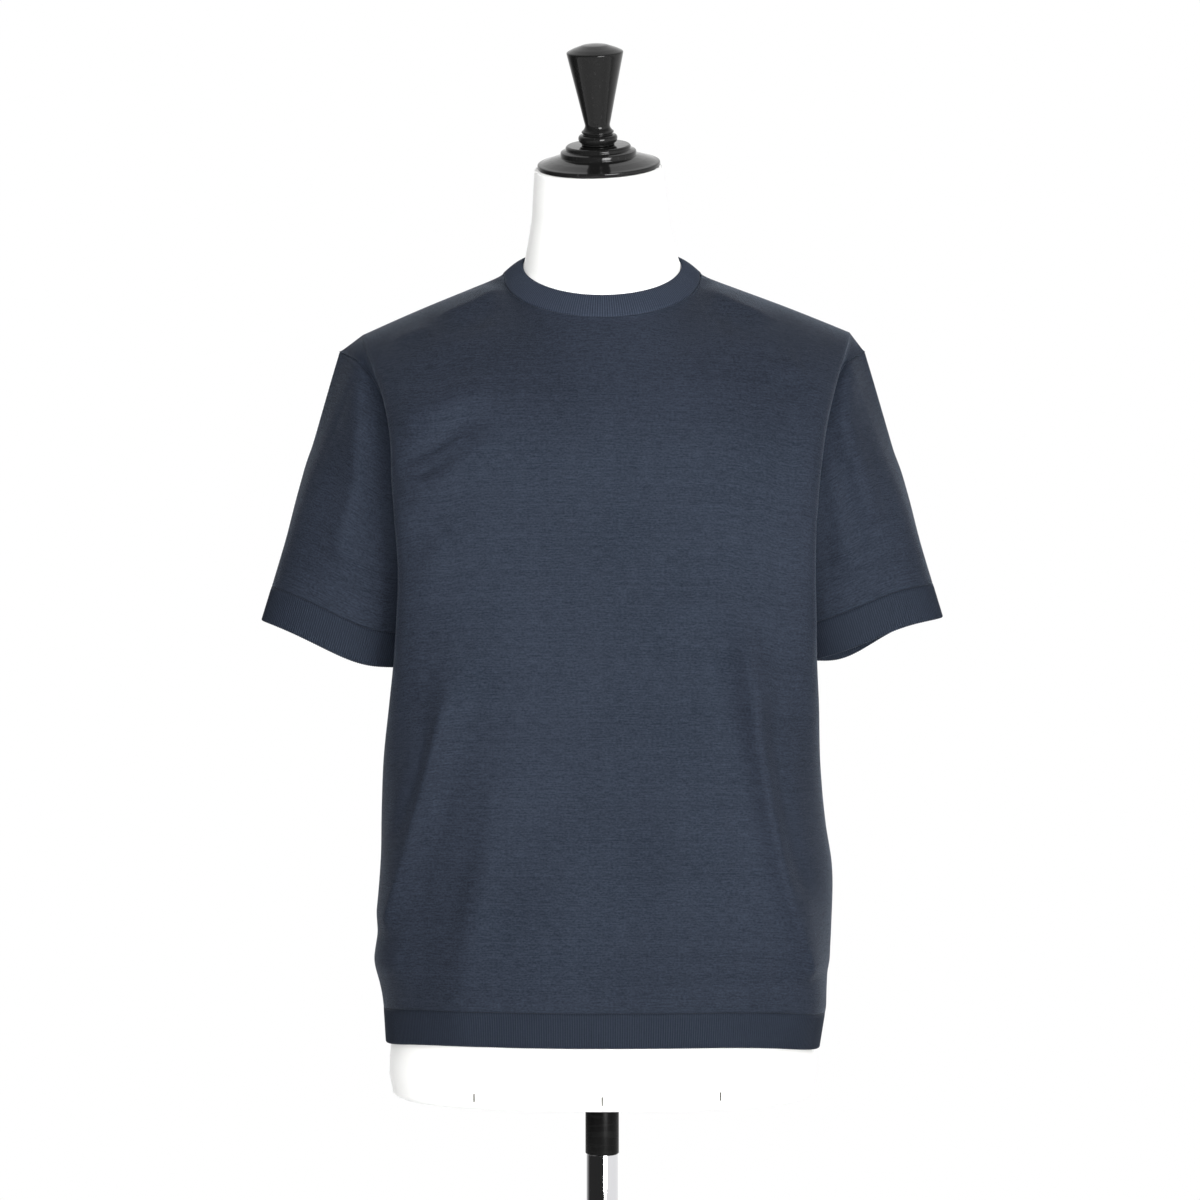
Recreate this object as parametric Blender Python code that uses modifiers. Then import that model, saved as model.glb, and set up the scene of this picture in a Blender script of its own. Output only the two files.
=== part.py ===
"""A crew neck T-shirt worn by a limbless dress form on a pole stand.

Metres, +Z up, the front faces -Y, and the origin is the centre of the base's underside.
Front and back are panels through level sections up to the chest, and through curves from
there over the chest or the shoulder blades to the neck seam and the shoulder seams. Each
sleeve is a tube from its armhole to its cuff. Every piece of cloth is a thin wall, and two
pieces that are sewn together share the line of their seam, with SEAM_GAP between them.
"""

import math
from collections import namedtuple

import bmesh
import bpy
import numpy as np
from mathutils import Matrix, Vector

OBJECT_NAME = "crew_neck_t_shirt_on_dress_form"

# Cloth
CLOTH = 0.0018  # thickness of the jersey
RIB = 0.0024  # thickness of the folded rib at neck, hem and cuffs
SEAM_GAP = 0.0003  # between two pieces that are sewn together
CLEARANCE = 0.0006  # between the cloth and the form that carries it

# Neck: the seam ring and the collar's free edge, as seen from above and from the front
NeckRing = namedtuple("NeckRing", "half_width middle front back side_height drop rise")
NECK_SEAM = NeckRing(0.091, 0.008, 0.088, 0.082, 1.4555, 0.0445, 0.0145)
NECK_EDGE = NeckRing(0.0735, 0.006, 0.074, 0.075, 1.4670, 0.0345, 0.0230)
COLLAR_CROWN = 0.0012  # rise of the collar between its seam and its edge

# Shoulder seams: where each turns down over the form's shoulder, and where it meets the sleeve
BEND_LEFT = (0.2205, 0.006, 1.4015)
BEND_RIGHT = (0.2280, 0.006, 1.4038)
TIP = (0.242, 0.004, 1.385)
SHOULDER_CROWN = 0.0015  # rise of the seam between the neck and the bend

# Levels
HEM_EDGE = 0.750
HEM_SEAM = 0.783
CHEST = 1.290
HEM_FADE = 0.350  # height over which the hem's lift fades out

# Level sections of the front and the back. left and right are the half widths at the
# widest place, which lies fold in front of (or behind) the side seam. seam_left and
# seam_right are the half widths at the side seam, depth is the reach at the middle,
# and power is the squareness of the corner.
Section = namedtuple("Section", "z left right depth fold seam_left seam_right power")
FRONT = (
    Section(0.750, 0.1975, 0.1968, 0.147, 0.018, 0.197, 0.1965, 2.3),
    Section(0.783, 0.1995, 0.1998, 0.146, 0.020, 0.199, 0.1995, 2.3),
    Section(0.820, 0.2028, 0.2035, 0.145, 0.024, 0.202, 0.203, 2.3),
    Section(0.862, 0.1975, 0.2075, 0.143, 0.030, 0.197, 0.206, 2.4),
    Section(0.917, 0.1965, 0.2085, 0.141, 0.036, 0.195, 0.206, 2.4),
    Section(0.955, 0.1985, 0.2025, 0.139, 0.042, 0.196, 0.202, 2.5),
    Section(1.010, 0.1975, 0.1970, 0.136, 0.054, 0.190, 0.192, 2.6),
    Section(1.065, 0.1915, 0.1950, 0.132, 0.068, 0.173, 0.178, 2.7),
    Section(1.100, 0.1875, 0.1930, 0.130, 0.077, 0.164, 0.169, 2.8),
    Section(1.140, 0.1845, 0.1920, 0.128, 0.084, 0.161, 0.167, 2.9),
    Section(1.185, 0.1830, 0.1910, 0.126, 0.088, 0.170, 0.176, 2.9),
    Section(1.226, 0.1860, 0.1920, 0.1245, 0.090, 0.177, 0.183, 2.9),
    Section(1.260, 0.1882, 0.1945, 0.1235, 0.090, 0.181, 0.187, 2.8),
    Section(1.290, 0.1895, 0.1980, 0.1225, 0.087, 0.185, 0.192, 2.7),
)
BACK = (
    Section(0.750, 0.1975, 0.1968, 0.150, 0.018, 0.197, 0.1965, 2.3),
    Section(0.783, 0.1995, 0.1998, 0.150, 0.020, 0.199, 0.1995, 2.3),
    Section(0.820, 0.2028, 0.2035, 0.149, 0.024, 0.202, 0.203, 2.3),
    Section(0.862, 0.1970, 0.2065, 0.147, 0.030, 0.197, 0.206, 2.3),
    Section(0.917, 0.1955, 0.2065, 0.143, 0.036, 0.195, 0.206, 2.4),
    Section(0.955, 0.1965, 0.2030, 0.140, 0.042, 0.196, 0.202, 2.5),
    Section(1.010, 0.1935, 0.1970, 0.136, 0.054, 0.190, 0.192, 2.6),
    Section(1.065, 0.1880, 0.1920, 0.133, 0.066, 0.173, 0.178, 2.7),
    Section(1.100, 0.1850, 0.1900, 0.131, 0.074, 0.164, 0.169, 2.8),
    Section(1.140, 0.1825, 0.1885, 0.130, 0.080, 0.161, 0.167, 2.9),
    Section(1.185, 0.1820, 0.1880, 0.130, 0.084, 0.170, 0.176, 2.9),
    Section(1.226, 0.1845, 0.1900, 0.130, 0.086, 0.177, 0.183, 2.9),
    Section(1.260, 0.1870, 0.1925, 0.130, 0.086, 0.181, 0.187, 2.8),
    Section(1.290, 0.1885, 0.1955, 0.1295, 0.084, 0.185, 0.192, 2.7),
)
# How much higher a hem hangs at the middle than at the side, and how squarely on each side
Lift = namedtuple("Lift", "height left right")
FRONT_LIFT = Lift(0.0125, 7.0, 4.0)
BACK_LIFT = Lift(0.0050, 2.0, 2.0)
NO_LIFT = Lift(0.0, 2.0, 2.0)

# The armhole seam, from the underarm to the tip of the shoulder seam
Hole = namedtuple("Hole", "z left right front back")
ARMHOLE = (
    Hole(1.185, 0.170, 0.176, 0.000, 0.000),
    Hole(1.192, 0.171, 0.177, 0.019, 0.019),
    Hole(1.206, 0.173, 0.179, 0.034, 0.034),
    Hole(1.232, 0.177, 0.183, 0.045, 0.046),
    Hole(1.262, 0.181, 0.187, 0.048, 0.050),
    Hole(1.290, 0.185, 0.192, 0.048, 0.050),
    Hole(1.320, 0.191, 0.198, 0.046, 0.048),
    Hole(1.345, 0.201, 0.206, 0.041, 0.043),
    Hole(1.365, 0.214, 0.217, 0.031, 0.035),
    Hole(1.378, 0.228, 0.228, 0.017, 0.023),
    Hole(1.385, 0.242, 0.242, -0.004, 0.004),
)

# How a panel arrives at its top edge: the slope of its last stretch, in degrees, at the
# middle of the neck, where neck and shoulder meet, halfway along the shoulder, at the bend
Slopes = namedtuple("Slopes", "middle neck_point shoulder bend")
FRONT_SLOPES = Slopes(60.0, 22.0, 6.0, 8.0)
BACK_SLOPES = Slopes(58.0, -12.0, -6.0, -4.0)
# Lengths of a curve's upright start and of its arrival, as shares of its chord
Pull = namedtuple("Pull", "rise arrival")
CLOTH_PULL = Pull(1.10, 0.85)
FORM_PULL = Pull(1.00, 0.62)
SLEEVE_PULL = Pull(0.80, 0.90)
NAPE_FULLNESS = 0.6  # extra share of the arrival behind each neck point, where the back rounds
NAPE_SPREAD = 0.10  # in column parameter

# Sleeves and cuffs, for the sleeve at +X; tip and inner are the ends of the cuff's edge.
# The sags are towards the inner end, and arch lifts the outer half and lowers the inner one.
Cuff = namedtuple("Cuff", "tip inner middle half_depth front_sag back_sag arch")
CUFF_LEFT = Cuff((0.3137, 1.1385), (0.182, 1.094), 0.003, 0.044, 0.0085, 0.0050, 0.000)
CUFF_RIGHT = Cuff((0.3137, 1.1415), (0.188, 1.100), 0.003, 0.044, 0.0010, 0.0070, 0.003)
CUFF_DEEP = 0.033
SLEEVE_LEAN = 17.0  # degrees from upright, of the sleeve at its cuff
CUFF_POWER = 2.2
SLEEVE_LEAVE = (0.72, 0.20, -0.64)  # way out of the armhole: sideways, to front or back, up
UNDERARM_EASE = 0.0007  # extra room for the sleeve where three pieces meet at the underarm

# Folds: height over the cloth around them (a trough is below 0), half width, and a path
# of (x, z) seen from the front or, on the back, through the body from the front
Fold = namedtuple("Fold", "height width path")
FRONT_FOLDS = (
    Fold(
        0.0070, 0.020,
        ((-0.122, 1.120), (-0.136, 1.055), (-0.161, 0.992), (-0.181, 0.915), (-0.194, 0.835)),
    ),
    Fold(0.0045, 0.022, ((-0.080, 1.030), (-0.100, 0.940), (-0.131, 0.780))),
    Fold(0.0080, 0.020, ((0.110, 1.190), (0.131, 1.085), (0.149, 0.990), (0.166, 0.905), (0.184, 0.790))),
    Fold(0.0035, 0.024, ((0.048, 1.050), (0.058, 0.920), (0.067, 0.780))),
    Fold(0.0040, 0.018, ((-0.190, 1.318), (-0.150, 1.328), (-0.118, 1.340))),
    Fold(-0.0035, 0.017, ((-0.178, 1.262), (-0.152, 1.284), (-0.118, 1.306))),
    Fold(0.0045, 0.017, ((-0.186, 1.246), (-0.150, 1.266), (-0.108, 1.296))),
)
BACK_FOLDS = (
    Fold(0.0065, 0.022, ((-0.118, 1.130), (-0.138, 1.030), (-0.160, 0.930), (-0.180, 0.800))),
    Fold(0.0040, 0.024, ((-0.040, 1.040), (-0.052, 0.920), (-0.070, 0.780))),
    Fold(0.0045, 0.024, ((0.070, 1.060), (0.086, 0.930), (0.100, 0.780))),
    Fold(0.0065, 0.021, ((0.128, 1.150), (0.146, 1.040), (0.163, 0.930), (0.182, 0.800))),
)
# On a sleeve, x is the half width, so that one table serves the sleeve's own side
LEFT_SLEEVE_FOLDS = (
    Fold(0.0060, 0.014, ((0.217, 1.400), (0.219, 1.366), (0.220, 1.335), (0.224, 1.262), (0.238, 1.205))),
)
RIGHT_SLEEVE_FOLDS = (
    Fold(0.0060, 0.013, ((0.222, 1.398), (0.221, 1.366), (0.218, 1.338), (0.233, 1.269), (0.242, 1.238))),
    Fold(0.0040, 0.012, ((0.204, 1.294), (0.208, 1.262), (0.216, 1.232), (0.219, 1.200))),
)
FOLD_FADE = 0.30  # share of a path over which its fold rises from nothing
# A fold is full where the cloth faces front (or back). Where it faces sideways, FOLD_WRAP of
# the height is left, and FOLD_EDGE is how fast that changes.
FOLD_WRAP = 0.6
FOLD_EDGE = 3.0

# The form, in the same columns as the shirt's panels
FORM_FRONT = (
    Section(0.7030, 0.1850, 0.1850, 0.118, 0.010, 0.185, 0.185, 2.2),
    Section(0.7055, 0.1900, 0.1900, 0.123, 0.010, 0.190, 0.190, 2.2),
    Section(0.7110, 0.1922, 0.1922, 0.1255, 0.010, 0.192, 0.192, 2.2),
    Section(0.7600, 0.1932, 0.1932, 0.127, 0.010, 0.193, 0.193, 2.2),
    Section(0.8300, 0.1925, 0.1925, 0.126, 0.010, 0.192, 0.192, 2.2),
    Section(0.9000, 0.1860, 0.1860, 0.121, 0.010, 0.186, 0.186, 2.2),
    Section(0.9700, 0.1740, 0.1740, 0.114, 0.010, 0.174, 0.174, 2.2),
    Section(1.0400, 0.1620, 0.1620, 0.108, 0.010, 0.162, 0.162, 2.2),
    Section(1.1100, 0.1540, 0.1540, 0.108, 0.010, 0.154, 0.154, 2.2),
    Section(1.1850, 0.1560, 0.1560, 0.114, 0.010, 0.156, 0.156, 2.2),
    Section(1.2400, 0.1640, 0.1640, 0.118, 0.010, 0.164, 0.164, 2.3),
    Section(1.2900, 0.1700, 0.1700, 0.117, 0.012, 0.170, 0.170, 2.3),
)
FORM_BACK = tuple(
    row._replace(depth=depth)
    for row, depth in zip(
        FORM_FRONT, (0.118, 0.123, 0.1255, 0.130, 0.132, 0.128, 0.118, 0.108, 0.106, 0.114, 0.120, 0.122)
    )
)
FORM_SIDE = (
    Hole(1.290, 0.170, 0.170, 0.000, 0.000),
    Hole(1.330, 0.178, 0.178, -0.001, 0.001),
    Hole(1.365, 0.190, 0.190, -0.003, 0.003),
    Hole(1.395, 0.204, 0.204, -0.005, 0.005),
)
FORM_BEND = 0.83  # share of the shirt's straight shoulder seam that the form's shoulder fills
FORM_TIP = (0.204, 0.005, 1.395)

# Neck of the form above the collar: level, half width, middle in depth, tilt in degrees
NeckLevel = namedtuple("NeckLevel", "z half middle tilt")
NECK_LEVELS = (
    NeckLevel(1.4960, 0.0690, 0.0060, 3.0),
    NeckLevel(1.5120, 0.0660, 0.0010, 8.0),
    NeckLevel(1.5280, 0.0635, -0.0050, 12.0),
    NeckLevel(1.5500, 0.0612, -0.0150, 18.0),
    NeckLevel(1.5524, 0.0602, -0.0158, 18.0),
    NeckLevel(1.5534, 0.0580, -0.0161, 18.0),
)
NECK_TILT = 18.0  # degrees forward, of the neck's top and what stands on it
NECK_ROLL = 2.0  # degrees to the side
CAP_OFFSET = -0.003  # sideways, of the cap and the knob

# Turned pieces: profiles of (radius, height)
CAP_PROFILE = (
    (0.0, 0.0205), (0.0285, 0.0205), (0.0300, 0.0190), (0.0300, 0.0165), (0.0345, 0.0150),
    (0.0350, 0.0125), (0.0350, 0.0105), (0.0440, 0.0080), (0.0525, 0.0050), (0.0558, 0.0042),
    (0.0563, 0.0035), (0.0563, 0.0005), (0.0558, 0.0), (0.0, 0.0),
)
KNOB_PROFILE = (
    (0.0, 0.0910), (0.0100, 0.0902), (0.0190, 0.0872), (0.0238, 0.0830), (0.0247, 0.0800),
    (0.0240, 0.0760), (0.0190, 0.0540), (0.0140, 0.0330), (0.0108, 0.0230), (0.0100, 0.0190),
    (0.0112, 0.0162), (0.0135, 0.0150), (0.0168, 0.0138), (0.0176, 0.0112), (0.0165, 0.0088),
    (0.0150, 0.0070), (0.0150, 0.0045), (0.0165, 0.0020), (0.0172, 0.0), (0.0, 0.0),
)
SOCKET_RADIUS = 0.0154
SOCKET_BOTTOM = 0.648
POLE_RADIUS = 0.01425
FORM_BOTTOM = 0.703
BASE_RADIUS = 0.200
BASE_PROFILE = (
    (0.0, 0.0420), (0.0200, 0.0420), (0.0225, 0.0395), (0.0235, 0.0240), (0.0300, 0.0180),
    (0.0600, 0.0150), (0.1940, 0.0100), (0.1985, 0.0085), (0.2000, 0.0060), (0.2000, 0.0015),
    (0.1985, 0.0), (0.0, 0.0),
)
TURNED_STEPS = 36
RIM_SOFTNESS = 0.06  # of a round bar's radius
SHARP_ANGLE = 50.0  # degrees between faces, over which an edge is shaded sharp

# Columns on each side of a panel's middle, and rows
NECK_COLUMNS = 7
SHOULDER_COLUMNS = 6
FOLD_COLUMNS = 3
BODY_LEVELS = (0.783, 0.820, 0.862, 0.905, 0.950, 0.995, 1.040, 1.080, 1.115, 1.150, 1.185)
ARMHOLE_LEVELS = (1.185, 1.194, 1.212, 1.238, 1.264, 1.290)
TOP_ROWS = 9
SLEEVE_ROWS = 8
FORM_LEVELS = (0.703, 0.7055, 0.711, 0.760, 0.830, 0.900, 0.970, 1.040, 1.110, 1.185, 1.240, 1.290)

# Shares of a panel's column parameter, and of its half width, that the neck takes
NECK_SHARE = 0.40
FOLD_SHARE = 0.82
NECK_REACH = 0.43
CORNER_CROWDING = 1.6  # above 1 crowds columns towards the fold
RIM_LEAD = 1.25  # above 1 puts the rows' ends further up the armhole
SLOPE_STEP = 0.010  # below the chest, to read the slope of the cloth there

LEFT = -1
RIGHT = 1
FACING = {"front": -1, "back": 1}

Look = namedtuple("Look", "color roughness metallic")
NAVY_JERSEY = Look((0.050, 0.060, 0.083, 1.0), 0.85, 0.0)
NAVY_RIB = Look((0.047, 0.057, 0.079, 1.0), 0.88, 0.0)
WHITE_COVER = Look((0.87, 0.87, 0.86, 1.0), 0.80, 0.0)
BLACK_LACQUER = Look((0.006, 0.006, 0.006, 1.0), 0.12, 0.0)
BLACK_PLASTIC = Look((0.010, 0.010, 0.010, 1.0), 0.40, 0.0)
CHROME = Look((0.80, 0.80, 0.82, 1.0), 0.08, 1.0)
BLACK_PAINT = Look((0.012, 0.012, 0.012, 1.0), 0.35, 0.0)


def curve(stations, values, at):
    """Values between stations, on a cubic through all of them."""
    stations = np.asarray(stations, float)
    values = np.asarray(values, float)
    slopes = np.gradient(values, stations, axis=0)
    at = np.clip(at, stations[0], stations[-1])
    i = np.clip(np.searchsorted(stations, at, side="right") - 1, 0, len(stations) - 2)
    span = stations[i + 1] - stations[i]
    f = (at - stations[i]) / span
    g = 1 - f
    return (
        values[i] * g * g * (1 + 2 * f)
        + values[i + 1] * f * f * (3 - 2 * f)
        + span * f * g * (slopes[i] * g - slopes[i + 1] * f)
    )


def read(table, column, at):
    return curve([row.z for row in table], [getattr(row, column) for row in table], at)


def sided(table, c, at):
    """The table's left column where c is below 0, and its right column elsewhere."""
    return np.where(c < 0, read(table, "left", at), read(table, "right", at))


def hermite(start, leave, end, arrive, t):
    f = t[..., None]
    g = 1 - f
    return start * g * g * (1 + 2 * f) + end * f * f * (3 - 2 * f) + f * g * (leave * g - arrive * f)


def unit(vectors):
    return vectors / np.maximum(np.linalg.norm(vectors, axis=-1, keepdims=True), 1e-12)


def columns():
    """Column parameters from the left edge of a panel, -1, to its right edge, 1."""
    half = np.concatenate(
        [
            np.linspace(0, NECK_SHARE, NECK_COLUMNS + 1)[:-1],
            np.linspace(NECK_SHARE, FOLD_SHARE, SHOULDER_COLUMNS + 1)[:-1],
            np.linspace(FOLD_SHARE, 1, FOLD_COLUMNS + 1),
        ]
    )
    return np.concatenate([-half[:0:-1], half])


def along_shoulder(c):
    """How far column c is from the neck point to the bend, and from the bend to the edge."""
    shoulder = np.clip((np.abs(c) - NECK_SHARE) / (FOLD_SHARE - NECK_SHARE), 0, 1)
    fold = np.clip((np.abs(c) - FOLD_SHARE) / (1 - FOLD_SHARE), 0, 1)
    return shoulder, fold


def section(table, facing, c, z, seam_depth, lift=NO_LIFT):
    """Points of a panel's level section at height z, at columns c."""
    shoulder, fold = along_shoulder(c)
    neck = NECK_REACH * np.clip(np.abs(c) / NECK_SHARE, 0, 1)
    q = np.where(np.abs(c) < NECK_SHARE, neck, 1 - (1 - NECK_REACH) * (1 - shoulder) ** CORNER_CROWDING)
    wide = sided(table, c, z)
    seam = np.where(c < 0, read(table, "seam_left", z), read(table, "seam_right", z))
    corner = read(table, "fold", z)
    depth = read(table, "depth", z)
    power = read(table, "power", z)
    x = wide * q + (seam - wide) * fold * fold * (3 - 2 * fold)
    y = corner + (depth - corner) * (1 - q**power) ** (1 / power) + (seam_depth - corner) * fold
    fade = np.clip(1 - (z - HEM_EDGE) / HEM_FADE, 0, 1) ** 2
    rise = lift.height * fade * (1 - q ** np.where(c < 0, lift.left, lift.right))
    return np.stack([np.sign(c) * x, facing * y, z + rise], axis=-1)


def neck_ring(ring, angle):
    """Points of a ring round the neck. Angle 0 is the middle of the front."""
    side, ahead = np.sin(angle), np.cos(angle)
    behind = np.clip(np.abs(angle) - math.pi / 2, 0, None)
    return np.stack(
        [
            ring.half_width * side,
            ring.middle - np.where(ahead > 0, ring.front, ring.back) * ahead,
            ring.side_height
            - ring.drop * np.clip(ahead, 0, None)
            + ring.rise * (1 - np.exp(-ring.drop * behind / ring.rise)),
        ],
        axis=-1,
    )


def neck_angle(c, facing):
    turn = np.clip(c / NECK_SHARE, -1, 1) * math.pi / 2
    if facing == FACING["front"]:
        return turn
    return np.where(c < 0, -1.0, 1.0) * math.pi - turn


def top_edge(c, facing):
    """The neck seam and, beyond it, the shoulder seam."""
    shoulder, fold = along_shoulder(c)
    at_neck = neck_ring(NECK_SEAM, neck_angle(c, facing))
    sign = np.sign(c)[..., None] * np.array([1, 0, 0]) + np.array([0, 1, 1])
    neck_point = neck_ring(NECK_SEAM, np.array(math.pi / 2))
    bend = np.where(c[..., None] < 0, BEND_LEFT, BEND_RIGHT)
    crown = SHOULDER_CROWN * np.sin(math.pi * shoulder)[..., None] * np.array([0, 0, 1])
    out = neck_point + (bend - neck_point) * shoulder[..., None] + crown
    out = out + (np.array(TIP) - bend) * fold[..., None]
    return np.where((np.abs(c) < NECK_SHARE)[..., None], at_neck, out * sign)


def arrival(slopes, c, facing):
    """Unit vectors along which the columns run into the top edge."""
    shoulder, _ = along_shoulder(c)
    neck = np.clip(np.abs(c) / NECK_SHARE, 0, 1) ** 2
    stations = (0, 1, 1.5, 2)
    degrees = curve(stations, slopes, neck + shoulder)
    slope = np.radians(degrees)
    return np.stack([0 * slope, -facing * np.cos(slope), np.sin(slope)], axis=-1)


def edge_point(table, c, facing, z):
    """The outer edge of a panel, at height z: the armhole seam, or the form's side."""
    reach = read(table, "front" if facing == FACING["front"] else "back", z)
    return np.stack([np.sign(c) * sided(table, c, z), facing * reach, z + 0 * c], axis=-1)


def over_the_top(table, edge, top, arrive, pull, c, facing, t):
    """Points from the chest level, t = 0, to the top edge, t = 1, at columns c."""
    _, fold = along_shoulder(c)
    inner = np.sign(c) * np.minimum(np.abs(c), FOLD_SHARE)
    start = section(table, facing, inner, CHEST + 0 * c, 0.0)
    below = section(table, facing, inner, CHEST - SLOPE_STEP + 0 * c, 0.0)
    chord = np.linalg.norm(top - start, axis=-1, keepdims=True)
    leave = unit(start - below) * chord * pull.rise
    full = np.exp(-(((np.abs(c) - NECK_SHARE) / NAPE_SPREAD) ** 2))[:, None]
    full = 1 + NAPE_FULLNESS * full * (facing == FACING["back"])
    points = hermite(start, leave, top, arrive * chord * pull.arrival * full, t)
    # Beyond the fold, the cloth runs back from it to the armhole seam
    rim_z = CHEST + (edge[-1].z - CHEST) * (1 - (1 - t) ** RIM_LEAD)
    rim = edge_point(edge, c, facing, rim_z)
    soft = fold * fold * (3 - 2 * fold)
    share = np.stack([soft + (fold - soft) * t * t, fold, fold], axis=-1)
    return points + (rim - points) * share


def panel(table, edge, lift, slopes, facing, levels, hole_levels, pull=CLOTH_PULL, top=None):
    """Grid of points, rows from the bottom up and columns from left to right."""
    c = columns()
    top = top_edge(c, facing) if top is None else top
    rows = [section(table, facing, c, z + 0 * c, 0.0, lift) for z in levels]
    for z in hole_levels[1:]:
        depth = read(edge, "front" if facing == FACING["front"] else "back", z)
        rows.append(section(table, facing, c, z + 0 * c, depth))
    inner = np.minimum(np.abs(c), FOLD_SHARE) * np.sign(c)
    bend = np.stack([np.interp(inner, c, top[:, i]) for i in range(3)], axis=-1)
    arrive = arrival(slopes, c, facing)
    for t in np.linspace(0, 1, TOP_ROWS + 1)[1:]:
        rows.append(over_the_top(table, edge, bend, arrive, pull, c, facing, t + 0 * c))
    rows[-1] = top
    return np.array(rows)


class Cloth:
    """A sheet of cloth as a grid of points on its outer face, and its thickness."""

    def __init__(self, name, points, thickness, look, outward, ring=False):
        self.name = name
        self.points = points
        self.thickness = thickness
        self.look = look
        self.ring = ring
        self.outward = outward
        self.measure_normals()

    def measure_normals(self):
        wrapped = self.points
        if self.ring:
            wrapped = np.concatenate([wrapped[:, -1:], wrapped, wrapped[:, :1]], axis=1)
        up = np.gradient(wrapped, axis=0)
        across = np.gradient(wrapped, axis=1)
        normals = unit(np.cross(across, up)) * self.outward
        self.normals = normals[:, 1:-1] if self.ring else normals

    def raise_folds(self, folds, facing):
        """Moves the outer face along its normals, by the folds of one side."""
        seen = self.normals[..., 1] * facing
        side = np.clip(seen * FOLD_EDGE + FOLD_WRAP, 0, 1)
        x, z = self.points[..., 0], self.points[..., 2]
        if self.ring:
            x = np.abs(x)
        lift = sum(fold_height(fold, x, z) for fold in folds)
        self.points = self.points + self.normals * (lift * side)[..., None]
        self.measure_normals()

    def bottom(self, across=slice(None)):
        return (self, (0, across), (1, across))

    def top(self, across=slice(None)):
        return (self, (-1, across), (-2, across))

    def left(self, up=slice(None)):
        return (self, (up, 0), (up, 1))

    def right(self, up=slice(None)):
        return (self, (up, -1), (up, -2))


def fold_height(fold, x, z):
    """Height of a fold at (x, z): full along its path, fading in at the start."""
    path = np.array(fold.path)
    lengths = np.linalg.norm(np.diff(path, axis=0), axis=1)
    total = lengths.sum()
    nearest = np.full(np.shape(x), np.inf)
    share = np.zeros(np.shape(x))
    done = 0.0
    for a, b, length in zip(path[:-1], path[1:], lengths):
        f = np.clip(((x - a[0]) * (b - a)[0] + (z - a[1]) * (b - a)[1]) / length**2, 0, 1)
        away = np.hypot(x - a[0] - f * (b - a)[0], z - a[1] - f * (b - a)[1])
        closer = away < nearest
        nearest = np.where(closer, away, nearest)
        share = np.where(closer, (done + f * length) / total, share)
        done += length
    fade = np.clip(share / FOLD_FADE, 0, 1)
    return fold.height * np.exp(-((nearest / fold.width) ** 2)) * fade * fade * (3 - 2 * fade)


def share_normals(seams):
    """Gives the two edges of each seam one normal, so that their ends lie face to face."""
    for _ in range(3):
        for first, second in seams:
            (a, at, _), (b, bt, _) = first, second
            mean = unit(a.normals[at] + b.normals[bt])
            a.normals[at] = mean
            b.normals[bt] = mean


def part_seams(seams):
    """Moves the two edges of each seam apart by the seam gap."""
    moves = []
    for (a, at, a_next), (b, bt, b_next) in seams:
        line = a.points[at]
        toward = unit(a.points[a_next] - line) - unit(b.points[b_next] - b.points[bt])
        along = unit(np.gradient(line, axis=0))
        for axis in (along, a.normals[at]):
            toward = toward - axis * (toward * axis).sum(axis=-1, keepdims=True)
        half = unit(toward) * SEAM_GAP / 2
        moves.append((b, bt, -half.copy()))
        if b.ring and not a.ring:
            # A panel's corners are placed by the seams between the panels
            half[[0, -1]] = 0
        moves.append((a, at, half))
    for cloth, at, move in moves:
        cloth.points[at] = cloth.points[at] + move


def material(name, look):
    made = bpy.data.materials.new(name)
    made.use_nodes = True
    surface = made.node_tree.nodes["Principled BSDF"]
    surface.inputs["Base Color"].default_value = look.color
    surface.inputs["Roughness"].default_value = look.roughness
    surface.inputs["Metallic"].default_value = look.metallic
    made.diffuse_color = look.color
    return made


def add_mesh(collection, name, points, faces, look):
    """An object from points and faces, with its faces turned outwards."""
    mesh = bpy.data.meshes.new(name)
    mesh.from_pydata([tuple(map(float, p)) for p in points], [], [tuple(map(int, f)) for f in faces])
    shape = bmesh.new()
    shape.from_mesh(mesh)
    bmesh.ops.remove_doubles(shape, verts=shape.verts, dist=1e-6)
    bmesh.ops.recalc_face_normals(shape, faces=shape.faces)
    bmesh.ops.triangulate(shape, faces=shape.faces, quad_method="SHORT_EDGE")
    shape.to_mesh(mesh)
    shape.free()
    mesh.shade_smooth()
    mesh.set_sharp_from_angle(angle=math.radians(SHARP_ANGLE))
    mesh.materials.append(material(name, look))
    made = bpy.data.objects.new(name, mesh)
    collection.objects.link(made)
    return made


def grid_faces(index, ring):
    """Quads between the rows and columns of a grid of point numbers."""
    if ring:
        index = np.concatenate([index, index[:, :1]], axis=1)
    corners = (index[:-1, :-1], index[:-1, 1:], index[1:, 1:], index[1:, :-1])
    return np.stack([corner.ravel() for corner in corners], axis=-1)


def add_wall(collection, cloth):
    """The closed wall of a sheet of cloth: outer face, inner face and the edges between."""
    rows, count = cloth.points.shape[:2]
    inner = cloth.points - cloth.normals * cloth.thickness
    outside = np.arange(rows * count).reshape(rows, count)
    inside = outside + rows * count
    sides = [(0, slice(None)), (-1, slice(None))]
    if not cloth.ring:
        sides += [(slice(None), 0), (slice(None), -1)]
    faces = [grid_faces(outside, cloth.ring), grid_faces(inside, cloth.ring)[:, ::-1]]
    for side in sides:
        edge = np.stack([outside[side], inside[side]])
        faces.append(grid_faces(edge, cloth.ring))
    points = np.concatenate([cloth.points.reshape(-1, 3), inner.reshape(-1, 3)])
    return add_mesh(collection, cloth.name, points, np.concatenate(faces), cloth.look)


def hem_points(table, facing, lift, rows):
    c = columns()
    return np.array([section(table, facing, c, z + 0 * c, 0.0, lift) for z in rows])


def around(front, back):
    """Two half rings, both from left to right, as one ring."""
    return np.concatenate([front, back[:, -2:0:-1]], axis=1)


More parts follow.
